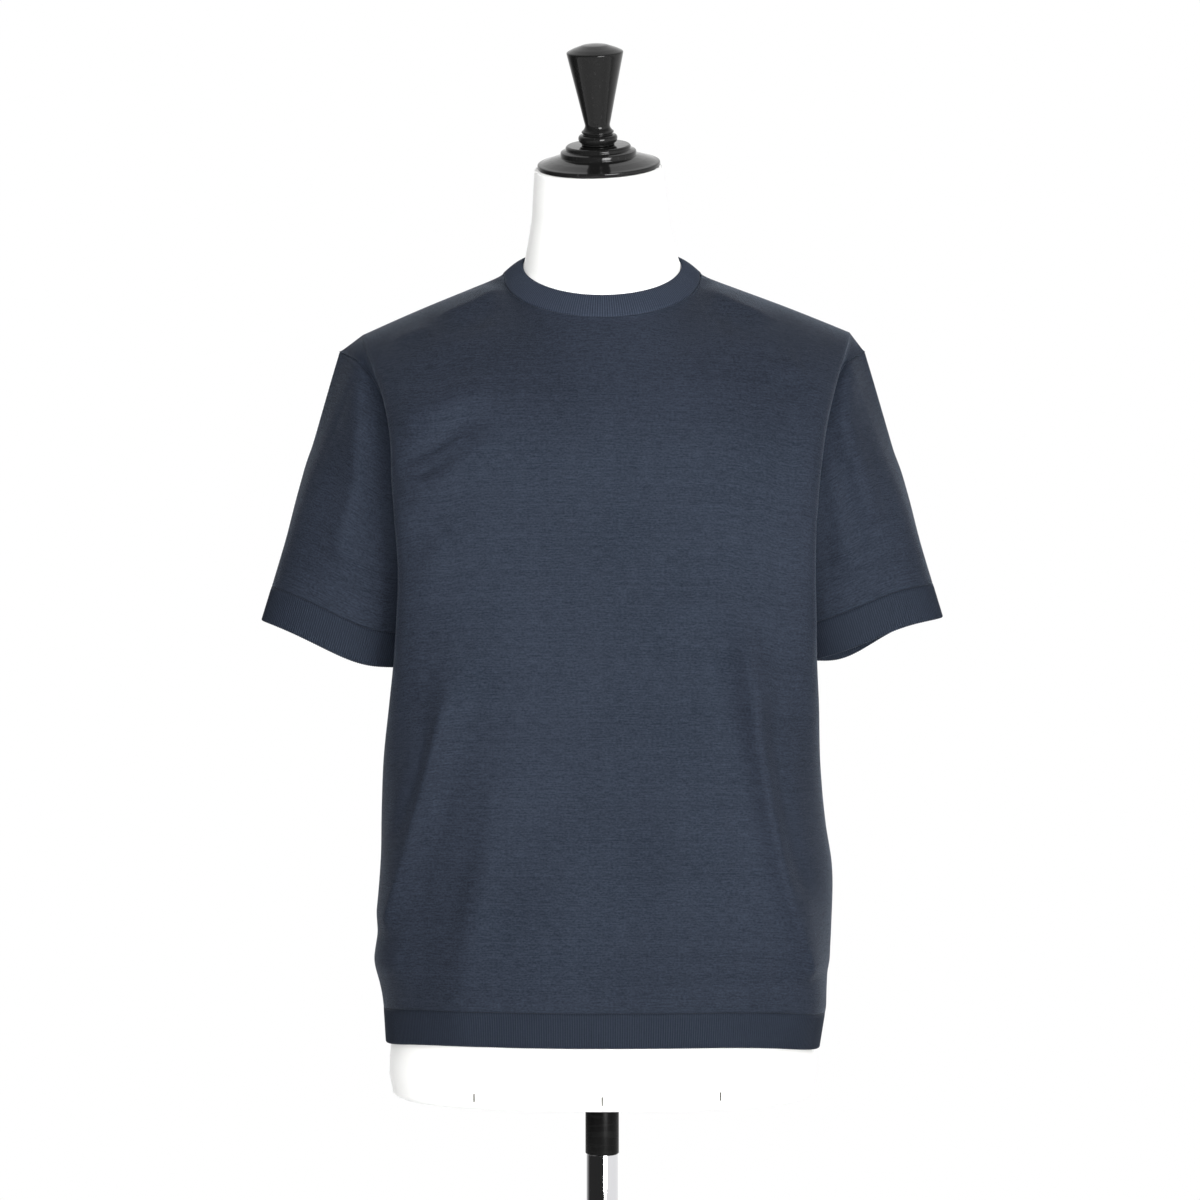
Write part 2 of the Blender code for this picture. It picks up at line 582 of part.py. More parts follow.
def cuff_ring(cuff, angle, up):
    """Points of a sleeve's end, at +X. Angle 0 is the outer tip and a quarter is the front."""
    (tip_x, tip_z), (inner_x, inner_z) = cuff.tip, cuff.inner
    out, ahead = np.cos(angle), np.sin(angle)
    reach = (out * out) ** (1 / CUFF_POWER) * np.sign(out)
    deep = (ahead * ahead) ** (1 / CUFF_POWER) * np.sign(ahead)
    share = (1 - reach) / 2
    sag = np.where(ahead > 0, cuff.front_sag, cuff.back_sag) * np.sin(math.pi * share * share)
    sag = (sag - cuff.arch * np.sin(2 * math.pi * share)) * np.abs(deep)
    lean = math.radians(SLEEVE_LEAN)
    return np.stack(
        [
            tip_x + (inner_x - tip_x) * share - up * math.sin(lean),
            cuff.middle - cuff.half_depth * deep,
            tip_z + (inner_z - tip_z) * share - sag + up * math.cos(lean),
        ],
        axis=-1,
    )


def sleeve_points(cuff, hole):
    """Grid from the armhole, a ring of points at +X, down to the cuff seam."""
    count = len(hole)
    angle = np.arange(count) * 2 * math.pi / count
    end = cuff_ring(cuff, angle, CUFF_DEEP)
    lean = math.radians(SLEEVE_LEAN)
    down = np.array([math.sin(lean), 0, -math.cos(lean)])
    side = np.abs(np.sin(angle))[:, None]
    out, ahead, up = SLEEVE_LEAVE
    outward = np.stack([out + 0 * angle, -ahead * np.sin(angle), up + 0 * angle], axis=-1)
    leave = unit(down * (1 - side) + outward * side)
    chord = np.linalg.norm(end - hole, axis=-1, keepdims=True)
    leave = leave * chord * SLEEVE_PULL.rise
    arrive = down * chord * SLEEVE_PULL.arrival
    rows = np.linspace(0, 1, SLEEVE_ROWS + 1)
    return np.array([hermite(hole, leave, end, arrive, t + 0 * angle) for t in rows])


def mirrored(points):
    return points * np.array([-1, 1, 1])


def shirt():
    """The eight pieces of the shirt, parted at their seams."""
    halves = []
    for name, table, lift, slopes, facing, outward in (
        ("shirt_front", FRONT, FRONT_LIFT, FRONT_SLOPES, FACING["front"], 1),
        ("shirt_back", BACK, BACK_LIFT, BACK_SLOPES, FACING["back"], -1),
    ):
        points = panel(table, ARMHOLE, lift, slopes, facing, BODY_LEVELS, ARMHOLE_LEVELS)
        halves.append(Cloth(name, points, CLOTH, NAVY_JERSEY, outward))
    front, back = halves
    front.raise_folds(FRONT_FOLDS, FACING["front"])
    back.raise_folds(BACK_FOLDS, FACING["back"])
    middle = FOLD_COLUMNS + SHOULDER_COLUMNS
    neck = slice(middle, -middle)
    shoulders = (slice(0, middle + 1), slice(-middle - 1, None))
    under = len(BODY_LEVELS) - 1
    side, hole = slice(0, under + 1), slice(under, None)

    # The neck ring runs along the front from left to right, then back
    angles = neck_angle(columns()[neck], FACING["front"])
    angles = np.concatenate([angles, neck_angle(columns()[neck], FACING["back"])[-2:0:-1]])
    rings = [neck_ring(NECK_SEAM, angles), neck_ring(NECK_EDGE, angles)]
    between = (rings[0] + rings[1]) / 2 + np.array([0, 0, COLLAR_CROWN])
    collar = Cloth("neck_rib", np.array([rings[0], between, rings[1]]), RIB, NAVY_RIB, 1, ring=True)

    bands = (HEM_EDGE, (HEM_EDGE + HEM_SEAM) / 2, HEM_SEAM)
    hem_ring = around(
        hem_points(FRONT, FACING["front"], FRONT_LIFT, bands),
        hem_points(BACK, FACING["back"], BACK_LIFT, bands),
    )
    hem = Cloth("hem_band", hem_ring, RIB, NAVY_RIB, 1, ring=True)
    hem.points[-1] = around(front.points[:1], back.points[:1])[0]
    hem.measure_normals()
    count = len(columns())

    pieces = [front, back, collar, hem]
    seams = [
        (front.left(side), back.left(side)),
        (front.right(side), back.right(side)),
        (front.top(shoulders[0]), back.top(shoulders[0])),
        (front.top(shoulders[1]), back.top(shoulders[1])),
        (front.top(neck), collar.bottom(slice(0, 2 * NECK_COLUMNS + 1))),
        (front.bottom(), hem.top(slice(0, count))),
    ]
    ring_back = np.concatenate([[0], np.arange(4 * NECK_COLUMNS - 1, 2 * NECK_COLUMNS - 1, -1)])
    seams.append((back.top(neck), collar.bottom(ring_back)))
    hem_back = np.concatenate([[0], np.arange(2 * count - 3, count - 2, -1)])
    seams.append((back.bottom(), hem.top(hem_back)))

    for name, sign, cuff, folds in (
        ("left", LEFT, CUFF_LEFT, LEFT_SLEEVE_FOLDS),
        ("right", RIGHT, CUFF_RIGHT, RIGHT_SLEEVE_FOLDS),
    ):
        edge = 0 if sign == LEFT else -1
        ahead, behind = front.points[hole, edge][::-1], back.points[hole, edge]
        rim = np.concatenate([ahead, behind[1:-1]])
        own = rim if sign == RIGHT else mirrored(rim)
        tube = sleeve_points(cuff, own)
        if sign == LEFT:
            tube = mirrored(tube)
        sleeve = Cloth(f"sleeve_{name}", tube, CLOTH, NAVY_JERSEY, sign, ring=True)
        sleeve.raise_folds(folds, FACING["front"])
        sleeve.points[0] = tube[0]
        around_cuff = np.arange(len(rim)) * 2 * math.pi / len(rim)
        band = np.array([cuff_ring(cuff, around_cuff, up) for up in (CUFF_DEEP, CUFF_DEEP / 2, 0)])
        if sign == LEFT:
            band = mirrored(band)
        band[0] = sleeve.points[-1]
        band = Cloth(f"cuff_band_{name}", band, RIB, NAVY_RIB, sign, ring=True)
        pieces += [sleeve, band]
        steps = len(ahead)
        edge_front = front.left(hole) if sign == LEFT else front.right(hole)
        edge_back = back.left(hole) if sign == LEFT else back.right(hole)
        seams.append((edge_front, sleeve.bottom(np.arange(steps - 1, -1, -1))))
        up_the_back = np.concatenate([np.arange(steps - 1, len(rim)), [0]])
        seams.append((edge_back, sleeve.bottom(up_the_back)))
        seams.append((sleeve.top(), band.bottom()))
    share_normals(seams)
    part_seams(seams)
    for piece in pieces:
        if piece.name.startswith("sleeve"):
            underarm = piece.points.shape[1] // 2
            piece.points[0, underarm, 0] += UNDERARM_EASE * np.sign(piece.points[0, underarm, 0])
    return pieces


def form_top(shirt_panel, facing):
    """The form's own neck and shoulder line, just under the shirt's."""
    c = columns()
    thickness = np.where(np.abs(c) <= NECK_SHARE + 1e-6, RIB, CLOTH)[:, None]
    under = shirt_panel.points[-1] - shirt_panel.normals[-1] * (thickness + CLEARANCE)
    shoulder, fold = along_shoulder(c)
    line = under.copy()
    for side in (LEFT, RIGHT):
        mine = np.flatnonzero(np.sign(c) == side)
        mine = mine[np.argsort(np.abs(c[mine]))]
        x = side * under[mine, 0]
        neck_x, bend_x = x[NECK_COLUMNS - 1], x[NECK_COLUMNS - 1 + SHOULDER_COLUMNS]
        target = neck_x + (bend_x - neck_x) * FORM_BEND * shoulder[mine]
        for axis in range(3):
            line[mine, axis] = np.interp(target, x, under[mine, axis])
    tip = np.array(FORM_TIP) * np.stack([np.sign(c), 1 + 0 * c, 1 + 0 * c], axis=-1)
    line = line + (tip - line) * fold[:, None]
    return np.where((np.abs(c) <= NECK_SHARE)[:, None], under, line)


def leaning(degrees):
    """The turn of the neck where it leans forward by so many degrees."""
    roll = NECK_ROLL * degrees / NECK_TILT
    return Matrix.Rotation(math.radians(degrees), 4, "X") @ Matrix.Rotation(math.radians(-roll), 4, "Y")


def form_torso(collection, pieces):
    """The closed form: front, back, neck, a flat bottom and a flat, tilted top."""
    front, back, collar = pieces[:3]
    c = columns()
    halves = []
    for cloth, table, slopes, facing in (
        (front, FORM_FRONT, FRONT_SLOPES, FACING["front"]),
        (back, FORM_BACK, BACK_SLOPES, FACING["back"]),
    ):
        top = form_top(cloth, facing)
        halves.append(
            panel(table, FORM_SIDE, NO_LIFT, slopes, facing, FORM_LEVELS, (CHEST,), FORM_PULL, top)
        )
    middle = FOLD_COLUMNS + SHOULDER_COLUMNS
    neck = slice(middle, -middle)
    mean = (halves[0][-1] + halves[1][-1]) / 2
    shoulder = np.abs(c) >= NECK_SHARE
    for half in halves:
        half[-1][shoulder] = mean[shoulder]
    base = around(halves[0][-1:, neck], halves[1][-1:, neck])[0]
    rings = [base]
    for row, normal in zip(collar.points[1:], collar.normals[1:]):
        rings.append(row - normal * (RIB + CLEARANCE))
    angles = neck_angle(c[neck], FACING["front"])
    angles = np.concatenate([angles, neck_angle(c[neck], FACING["back"])[-2:0:-1]])
    circle = np.stack([np.sin(angles), -np.cos(angles), 0 * angles], axis=-1)
    for level in NECK_LEVELS:
        turn = np.array(leaning(level.tilt).to_3x3())
        rings.append(level.half * circle @ turn.T + np.array([0, level.middle, level.z]))
    points, faces, total = [], [], 0
    for half in halves:
        index = np.arange(half.shape[0] * half.shape[1]).reshape(half.shape[:2]) + total
        points.append(half.reshape(-1, 3))
        faces += grid_faces(index, False).tolist()
        total += index.size
    tube = np.array(rings)
    index = np.arange(tube.shape[0] * tube.shape[1]).reshape(tube.shape[:2]) + total
    points.append(tube.reshape(-1, 3))
    faces += grid_faces(index, True).tolist()
    faces.append(index[-1].tolist())
    count = len(c)
    bottom = list(range(count)) + list(range(halves[0].size // 3 + count - 2, halves[0].size // 3, -1))
    faces.append(bottom)
    return add_mesh(collection, "form_torso", np.concatenate(points), faces, WHITE_COVER)


def turned(collection, name, profile, look, matrix=None):
    """A solid turned from a profile that runs down its outer side."""
    mesh = bpy.data.meshes.new(name)
    points = [(radius, 0.0, height) for radius, height in profile]
    mesh.from_pydata(points, [(i, i + 1) for i in range(len(points) - 1)], [])
    mesh.materials.append(material(name, look))
    made = bpy.data.objects.new(name, mesh)
    collection.objects.link(made)
    screw = made.modifiers.new("turn", "SCREW")
    screw.steps = TURNED_STEPS
    screw.render_steps = TURNED_STEPS
    screw.use_merge_vertices = True
    screw.merge_threshold = 0.00005
    screw.use_smooth_shade = True
    if matrix is not None:
        made.matrix_world = matrix
    return made


def rod(collection, name, radius, bottom, top, look):
    """An upright round bar with softened rims."""
    soft = radius * RIM_SOFTNESS
    profile = (
        (0, top), (radius - soft, top), (radius, top - soft),
        (radius, bottom + soft), (radius - soft, bottom), (0, bottom),
    )
    return turned(collection, name, profile, look)


def stand(collection):
    level = NECK_LEVELS[-1]
    seat = Matrix.Translation(Vector((CAP_OFFSET, level.middle, level.z)))
    lean = leaning(NECK_TILT)
    cap_foot = SEAM_GAP
    knob_foot = cap_foot + CAP_PROFILE[0][1] + SEAM_GAP
    for name, profile, foot in (
        ("form_neck_cap", CAP_PROFILE, cap_foot),
        ("form_knob", KNOB_PROFILE, knob_foot),
    ):
        raised = seat @ lean @ Matrix.Translation((0, 0, foot))
        turned(collection, name, profile, BLACK_LACQUER, raised)
    rod(collection, "stand_socket", SOCKET_RADIUS, SOCKET_BOTTOM, FORM_BOTTOM - SEAM_GAP, BLACK_PLASTIC)
    boss = BASE_PROFILE[0][1]
    rod(collection, "stand_pole", POLE_RADIUS, boss + SEAM_GAP, SOCKET_BOTTOM - SEAM_GAP, CHROME)
    turned(collection, "stand_base", BASE_PROFILE, BLACK_PAINT)


def main():
    for old in list(bpy.data.objects):
        bpy.data.objects.remove(old, do_unlink=True)
    collection = bpy.data.collections.new(OBJECT_NAME)
    bpy.context.scene.collection.children.link(collection)
    pieces = shirt()
    for cloth in pieces:
        add_wall(collection, cloth)
    form_torso(collection, pieces)
    stand(collection)


main()
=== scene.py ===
"""A crew neck T-shirt on a limbless dress form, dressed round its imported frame.

Metres, +Z up, and the front faces -Y. Left is the side at -X, and right the side at +X.
Every piece of cloth is a thin closed wall that lies where its solid does. Front and back
are panels through level sections up to the chest, and through curves from there to the neck
and the shoulder seams, and each sleeve is a tube from its armhole to its cuff.
"""

import math
from collections import namedtuple
from functools import lru_cache

import bmesh
import bpy
import numpy as np
from bpy.props import FloatProperty, FloatVectorProperty, PointerProperty
from mathutils import Matrix, Vector


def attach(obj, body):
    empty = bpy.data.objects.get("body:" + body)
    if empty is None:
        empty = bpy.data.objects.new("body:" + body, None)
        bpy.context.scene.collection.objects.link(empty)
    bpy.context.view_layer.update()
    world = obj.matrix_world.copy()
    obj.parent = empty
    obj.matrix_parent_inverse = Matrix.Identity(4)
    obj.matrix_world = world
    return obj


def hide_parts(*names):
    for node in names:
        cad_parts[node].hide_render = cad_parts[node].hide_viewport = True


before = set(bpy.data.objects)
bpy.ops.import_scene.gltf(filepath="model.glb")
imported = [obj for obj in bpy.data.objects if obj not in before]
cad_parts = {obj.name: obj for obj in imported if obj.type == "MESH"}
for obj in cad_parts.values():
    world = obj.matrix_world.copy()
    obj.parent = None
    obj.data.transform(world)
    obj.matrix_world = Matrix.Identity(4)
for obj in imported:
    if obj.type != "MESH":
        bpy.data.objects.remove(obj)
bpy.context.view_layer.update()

bl_info = {
    "name": "Crew neck T-shirt on a dress form",
    "version": (1, 0, 0),
    "blender": (4, 5, 0),
    "location": "3D View > Sidebar > T-shirt",
    "description": "Makes a ribbed crew neck T-shirt, the dress form that wears it and its stand",
    "category": "Object",
}

BODY = "root"
LEFT = -1
RIGHT = 1
FACING = {"front": -1, "back": 1}

SEAM_GAP = 0.0001  # between sewn pieces
CLEARANCE = 0.0006  # under the cloth, where the form carries it
SEAM_ROUNDING = 0.0006  # of a jersey's edge at a seam
BAND_ROUNDING = 0.0003  # of the hem's and the cuffs' edges at their seams
COLLAR_ROUNDING = 0.0012
UNDERARM_EASE = 0.0004  # outwards, of the sleeve's seam under the arm

# Neck: the seam ring and the collar's free edge, as seen from above and from the front
NeckRing = namedtuple("NeckRing", "half_width middle front back side_height drop rise")
NECK_SEAM = NeckRing(0.091, 0.008, 0.088, 0.082, 1.4555, 0.0445, 0.0145)
NECK_EDGE = NeckRing(0.0735, 0.006, 0.074, 0.075, 1.4670, 0.0345, 0.0230)
COLLAR_CROWN = 0.0016  # height of the collar's rounded face

# Shoulder seams: where each turns down over the form's shoulder, and where it meets the sleeve
BEND_LEFT = (0.2205, 0.006, 1.4015)
BEND_RIGHT = (0.2280, 0.006, 1.4038)
TIP = (0.242, 0.004, 1.385)
SHOULDER_CROWN = 0.0015  # rise of the seam halfway along the shoulder

HEM_EDGE = 0.750
HEM_SEAM = 0.783
CHEST = 1.290
HEM_FADE = 0.350  # height over which the hem's lift fades out
HEM_CORNER_POWER = 8  # how close to the side seam the hem's drawn-up end begins

# Level sections. left and right are the half widths at the widest place, which lies fold in
# front of (or behind) the side seam. seam_left and seam_right are the half widths at the
# side seam, depth is the reach at the middle, and power is the squareness of the corner.
Section = namedtuple("Section", "z left right depth fold seam_left seam_right power")
FRONT = (
    Section(0.750, 0.1975, 0.1968, 0.147, 0.018, 0.197, 0.1965, 2.3),
    Section(0.783, 0.1995, 0.1998, 0.146, 0.020, 0.199, 0.1995, 2.3),
    Section(0.820, 0.2028, 0.2035, 0.145, 0.024, 0.202, 0.203, 2.3),
    Section(0.862, 0.1975, 0.2075, 0.143, 0.030, 0.197, 0.206, 2.4),
    Section(0.917, 0.1965, 0.2085, 0.141, 0.036, 0.195, 0.206, 2.4),
    Section(0.955, 0.1985, 0.2025, 0.139, 0.042, 0.196, 0.202, 2.5),
    Section(1.010, 0.1975, 0.1970, 0.136, 0.054, 0.190, 0.192, 2.6),
    Section(1.065, 0.1915, 0.1950, 0.132, 0.068, 0.173, 0.178, 2.7),
    Section(1.100, 0.1875, 0.1930, 0.130, 0.077, 0.164, 0.169, 2.8),
    Section(1.140, 0.1845, 0.1920, 0.128, 0.084, 0.161, 0.167, 2.9),
    Section(1.185, 0.1830, 0.1910, 0.126, 0.088, 0.170, 0.176, 2.9),
    Section(1.226, 0.1860, 0.1920, 0.1245, 0.090, 0.177, 0.183, 2.9),
    Section(1.260, 0.1882, 0.1945, 0.1235, 0.090, 0.181, 0.187, 2.8),
    Section(1.290, 0.1895, 0.1980, 0.1225, 0.087, 0.185, 0.192, 2.7),
)
BACK = (
    Section(0.750, 0.1975, 0.1968, 0.150, 0.018, 0.197, 0.1965, 2.3),
    Section(0.783, 0.1995, 0.1998, 0.150, 0.020, 0.199, 0.1995, 2.3),
    Section(0.820, 0.2028, 0.2035, 0.149, 0.024, 0.202, 0.203, 2.3),
    Section(0.862, 0.1970, 0.2065, 0.147, 0.030, 0.197, 0.206, 2.3),
    Section(0.917, 0.1955, 0.2065, 0.143, 0.036, 0.195, 0.206, 2.4),
    Section(0.955, 0.1965, 0.2030, 0.140, 0.042, 0.196, 0.202, 2.5),
    Section(1.010, 0.1935, 0.1970, 0.136, 0.054, 0.190, 0.192, 2.6),
    Section(1.065, 0.1880, 0.1920, 0.133, 0.066, 0.173, 0.178, 2.7),
    Section(1.100, 0.1850, 0.1900, 0.131, 0.074, 0.164, 0.169, 2.8),
    Section(1.140, 0.1825, 0.1885, 0.130, 0.080, 0.161, 0.167, 2.9),
    Section(1.185, 0.1820, 0.1880, 0.130, 0.084, 0.170, 0.176, 2.9),
    Section(1.226, 0.1845, 0.1900, 0.130, 0.086, 0.177, 0.183, 2.9),
    Section(1.260, 0.1870, 0.1925, 0.130, 0.086, 0.181, 0.187, 2.8),
    Section(1.290, 0.1885, 0.1955, 0.1295, 0.084, 0.185, 0.192, 2.7),
)
# How much higher a hem hangs at the middle than at the side, how squarely on each side, and
# how much its left end is drawn up
Lift = namedtuple("Lift", "height left right corner")
FRONT_LIFT = Lift(0.0125, 7.0, 4.0, 0.0045)
BACK_LIFT = Lift(0.0050, 2.0, 2.0, 0.0045)
NO_LIFT = Lift(0.0, 2.0, 2.0, 0.0)

# The armhole seam, from the underarm to the tip of the shoulder seam
Hole = namedtuple("Hole", "z left right front back")
ARMHOLE = (
    Hole(1.185, 0.170, 0.176, 0.000, 0.000),
    Hole(1.192, 0.171, 0.177, 0.019, 0.019),
    Hole(1.206, 0.173, 0.179, 0.034, 0.034),
    Hole(1.232, 0.177, 0.183, 0.045, 0.046),
    Hole(1.262, 0.181, 0.187, 0.048, 0.050),
    Hole(1.290, 0.185, 0.192, 0.048, 0.050),
    Hole(1.320, 0.191, 0.198, 0.046, 0.048),
    Hole(1.345, 0.201, 0.206, 0.041, 0.043),
    Hole(1.365, 0.214, 0.217, 0.031, 0.035),
    Hole(1.378, 0.228, 0.228, 0.017, 0.023),
    Hole(1.385, 0.242, 0.242, -0.004, 0.004),
)

# How a panel arrives at its top edge: the slope of its last stretch, in degrees, at the
# middle of the neck, where neck and shoulder meet, halfway along the shoulder, at the bend
Slopes = namedtuple("Slopes", "middle neck_point shoulder bend")
SLOPE_PLACES = (0, 1, 1.5, 2)
FRONT_SLOPES = Slopes(60.0, 22.0, 6.0, 8.0)
BACK_SLOPES = Slopes(58.0, -12.0, -6.0, -4.0)
# Lengths of a curve's upright start and of its arrival, as shares of its chord
Pull = namedtuple("Pull", "rise arrival")
CLOTH_PULL = Pull(1.10, 0.85)
FORM_PULL = Pull(1.00, 0.62)
SLEEVE_PULL = Pull(0.80, 0.90)
NAPE_FULLNESS = 0.6  # extra share of the arrival behind each neck point, where the back rounds
NAPE_SPREAD = 0.10  # in column parameter
NECK_SPREAD = 0.16  # in column parameter, of the softening below each neck point
NECK_SOFT_ROWS = 18
NECK_SOFT_ROUNDS = 110

# Sleeves and cuffs, for the sleeve at +X; tip and inner are the ends of the cuff's edge.
# The sags are towards the inner end, and arch lifts the outer half and lowers the inner one.
Cuff = namedtuple("Cuff", "tip inner middle half_depth front_sag back_sag arch")
CUFF_LEFT = Cuff((0.3137, 1.1385), (0.182, 1.094), 0.003, 0.044, 0.0085, 0.0050, 0.000)
CUFF_RIGHT = Cuff((0.3137, 1.1415), (0.188, 1.100), 0.003, 0.044, -0.0028, 0.0072, 0.003)
CUFF_DEEP = 0.033
SLEEVE_LEAN = 17.0  # degrees from upright, of the sleeve at its cuff
CUFF_POWER = 2.2
SLEEVE_LEAVE = (0.72, 0.20, -0.64)  # way out of the armhole: sideways, to front or back, up

# Folds: height over the cloth around them (a trough is below 0), half width, and a path of
# (x, z) seen from the front. other is the half width on the right hand of the path, out is
# the share of the path over which the fold fades at its end, and power is its softness: 2 is
# round, and 1 has a sharp crest.
Fold = namedtuple("Fold", "height width path other out power", defaults=(None, 0.0, 2.0))
LEFT_MAIN = ((-0.122, 1.120), (-0.136, 1.055), (-0.161, 0.992), (-0.181, 0.915), (-0.194, 0.835))
RIGHT_MAIN = ((0.110, 1.190), (0.131, 1.085), (0.149, 0.990), (0.166, 0.905), (0.184, 0.790))
FRONT_FOLDS = (
    Fold(0.0070, 0.020, LEFT_MAIN),
    Fold(0.0045, 0.022, ((-0.080, 1.030), (-0.100, 0.940), (-0.131, 0.780))),
    Fold(0.0080, 0.020, RIGHT_MAIN),
    Fold(0.0035, 0.024, ((0.048, 1.050), (0.058, 0.920), (0.067, 0.780))),
    Fold(0.0040, 0.018, ((-0.190, 1.318), (-0.150, 1.328), (-0.118, 1.340))),
    Fold(-0.0035, 0.017, ((-0.178, 1.262), (-0.152, 1.284), (-0.118, 1.306))),
    Fold(0.0045, 0.017, ((-0.186, 1.246), (-0.150, 1.266), (-0.108, 1.296))),
)
BACK_FOLDS = (
    Fold(0.0065, 0.022, ((-0.118, 1.130), (-0.138, 1.030), (-0.160, 0.930), (-0.180, 0.800))),
    Fold(0.0040, 0.024, ((-0.040, 1.040), (-0.052, 0.920), (-0.070, 0.780))),
    Fold(0.0045, 0.024, ((0.070, 1.060), (0.086, 0.930), (0.100, 0.780))),
    Fold(0.0065, 0.021, ((0.128, 1.150), (0.146, 1.040), (0.163, 0.930), (0.182, 0.800))),
)
# On a sleeve, x is the half width
LEFT_SLEEVE_FOLDS = (
    Fold(
        0.0060, 0.014, ((0.217, 1.400), (0.219, 1.366), (0.220, 1.335), (0.224, 1.262), (0.238, 1.205))
    ),
)
RIGHT_SLEEVE_FOLDS = (
    Fold(
        0.0060, 0.013, ((0.222, 1.398), (0.221, 1.366), (0.218, 1.338), (0.233, 1.269), (0.242, 1.238))
    ),
    Fold(0.0040, 0.012, ((0.204, 1.294), (0.208, 1.262), (0.216, 1.232), (0.219, 1.200))),
)

# Smaller creases: crests on the main folds, drag lines from the underarms
# and the shoulders, and slack near the seams
LEFT_CREST = (
    (-0.126, 1.112), (-0.1377, 1.066), (-0.1505, 1.015), (-0.1615, 0.975), (-0.1717, 0.934),
    (-0.1836, 0.893), (-0.1960, 0.850),
)
RIGHT_CREST = (
    (0.115, 1.172), (0.1292, 1.0935), (0.1343, 1.056), (0.1412, 1.012), (0.1497, 0.961),
    (0.1582, 0.920), (0.1684, 0.876), (0.1786, 0.845), (0.186, 0.812),
)
FRONT_CREASES = (
    Fold(0.0074, 0.0070, LEFT_CREST, 0.015, 0.10, 1.15),
    Fold(
        -0.0044, 0.009, ((-0.150, 1.066), (-0.163, 1.010), (-0.176, 0.965), (-0.188, 0.925)), 0.007, 0.4
    ),
    Fold(0.0010, 0.006, ((-0.172, 0.879), (-0.180, 0.850), (-0.1885, 0.815)), 0.009, 0.3, 1.5),
    Fold(-0.0016, 0.008, ((-0.108, 0.965), (-0.1275, 0.900), (-0.141, 0.840)), 0.012, 0.4),
    Fold(0.0082, 0.015, RIGHT_CREST, 0.0070, 0.05, 1.15),
    Fold(-0.0058, 0.009, ((0.146, 1.090), (0.156, 1.010), (0.169, 0.940), (0.186, 0.880)), 0.012, 0.2),
    Fold(-0.0010, 0.006, ((0.063, 0.930), (0.065, 0.870), (0.066, 0.800)), 0.010, 0.3, 1.6),
    Fold(0.0010, 0.007, ((0.140, 0.910), (0.143, 0.860), (0.147, 0.800)), 0.009, 0.3, 1.6),
    Fold(
        0.0046, 0.009, ((-0.086, 1.446), (-0.104, 1.434), (-0.130, 1.420), (-0.160, 1.411)),
        0.011, 0.4, 1.2,
    ),
    Fold(-0.0026, 0.010, ((-0.092, 1.426), (-0.118, 1.408), (-0.146, 1.394)), 0.012, 0.5),
    Fold(0.0020, 0.008, ((-0.150, 1.405), (-0.172, 1.398), (-0.196, 1.392)), 0.009, 0.4, 1.5),
    Fold(
        0.0040, 0.010, ((0.088, 1.446), (0.110, 1.432), (0.138, 1.418), (0.166, 1.408)),
        0.009, 0.4, 1.2,
    ),
    Fold(-0.0022, 0.012, ((0.096, 1.424), (0.124, 1.406), (0.152, 1.392)), 0.011, 0.5),
    Fold(0.0030, 0.0045, ((-0.184, 1.268), (-0.150, 1.284), (-0.104, 1.313)), 0.006, 0.4, 1.3),
    Fold(-0.0024, 0.004, ((-0.178, 1.257), (-0.150, 1.274), (-0.116, 1.292)), 0.005, 0.4, 1.4),
    Fold(0.0025, 0.004, ((-0.172, 1.243), (-0.144, 1.262), (-0.118, 1.278)), 0.005, 0.4, 1.3),
    Fold(0.0020, 0.004, ((-0.182, 1.298), (-0.160, 1.306), (-0.130, 1.320)), 0.005, 0.4, 1.3),
    Fold(-0.0016, 0.006, ((-0.150, 1.232), (-0.138, 1.214), (-0.130, 1.186)), 0.010, 0.4, 1.5),
    Fold(
        -0.0014, 0.010, ((-0.108, 1.085), (-0.124, 1.020), (-0.144, 0.962), (-0.163, 0.880)), 0.014, 0.3
    ),
    Fold(-0.0015, 0.011, ((0.096, 1.130), (0.113, 1.050), (0.129, 0.960), (0.141, 0.880)), 0.011, 0.3),
    Fold(0.0012, 0.009, ((-0.092, 0.972), (-0.106, 0.900), (-0.127, 0.810)), 0.013, 0.3),
    Fold(0.0009, 0.010, ((0.052, 0.990), (0.060, 0.900), (0.066, 0.815)), 0.014, 0.4),
    Fold(0.0008, 0.012, ((-0.020, 0.960), (-0.026, 0.880), (-0.036, 0.790)), 0.016, 0.2),
    Fold(0.0014, 0.007, ((-0.184, 1.3125), (-0.156, 1.322), (-0.126, 1.336)), 0.010, 0.4),
    Fold(-0.0012, 0.007, ((-0.184, 1.2656), (-0.161, 1.282), (-0.123, 1.305)), 0.009, 0.4),
    Fold(0.0014, 0.007, ((-0.188, 1.2536), (-0.1555, 1.2656), (-0.114, 1.293)), 0.011, 0.4),
    Fold(-0.0022, 0.012, ((-0.146, 1.240), (-0.158, 1.217), (-0.170, 1.190)), 0.014, 0.4),
    Fold(0.0016, 0.009, ((-0.136, 1.215), (-0.148, 1.190), (-0.160, 1.155)), 0.012, 0.5),
    Fold(0.0020, 0.012, ((0.182, 1.372), (0.160, 1.364), (0.138, 1.357)), 0.014, 0.4),
    Fold(-0.0018, 0.010, ((0.186, 1.352), (0.166, 1.344), (0.146, 1.340)), 0.014, 0.4),
    Fold(0.0020, 0.014, ((0.188, 1.262), (0.164, 1.238), (0.146, 1.205)), 0.018, 0.5),
    Fold(-0.0016, 0.012, ((0.190, 1.240), (0.172, 1.218), (0.158, 1.180)), 0.014, 0.5),
    Fold(0.0012, 0.016, ((-0.108, 1.420), (-0.140, 1.392), (-0.165, 1.352)), 0.020, 0.5),
    Fold(0.0012, 0.016, ((0.112, 1.420), (0.146, 1.394), (0.172, 1.360)), 0.020, 0.5),
)
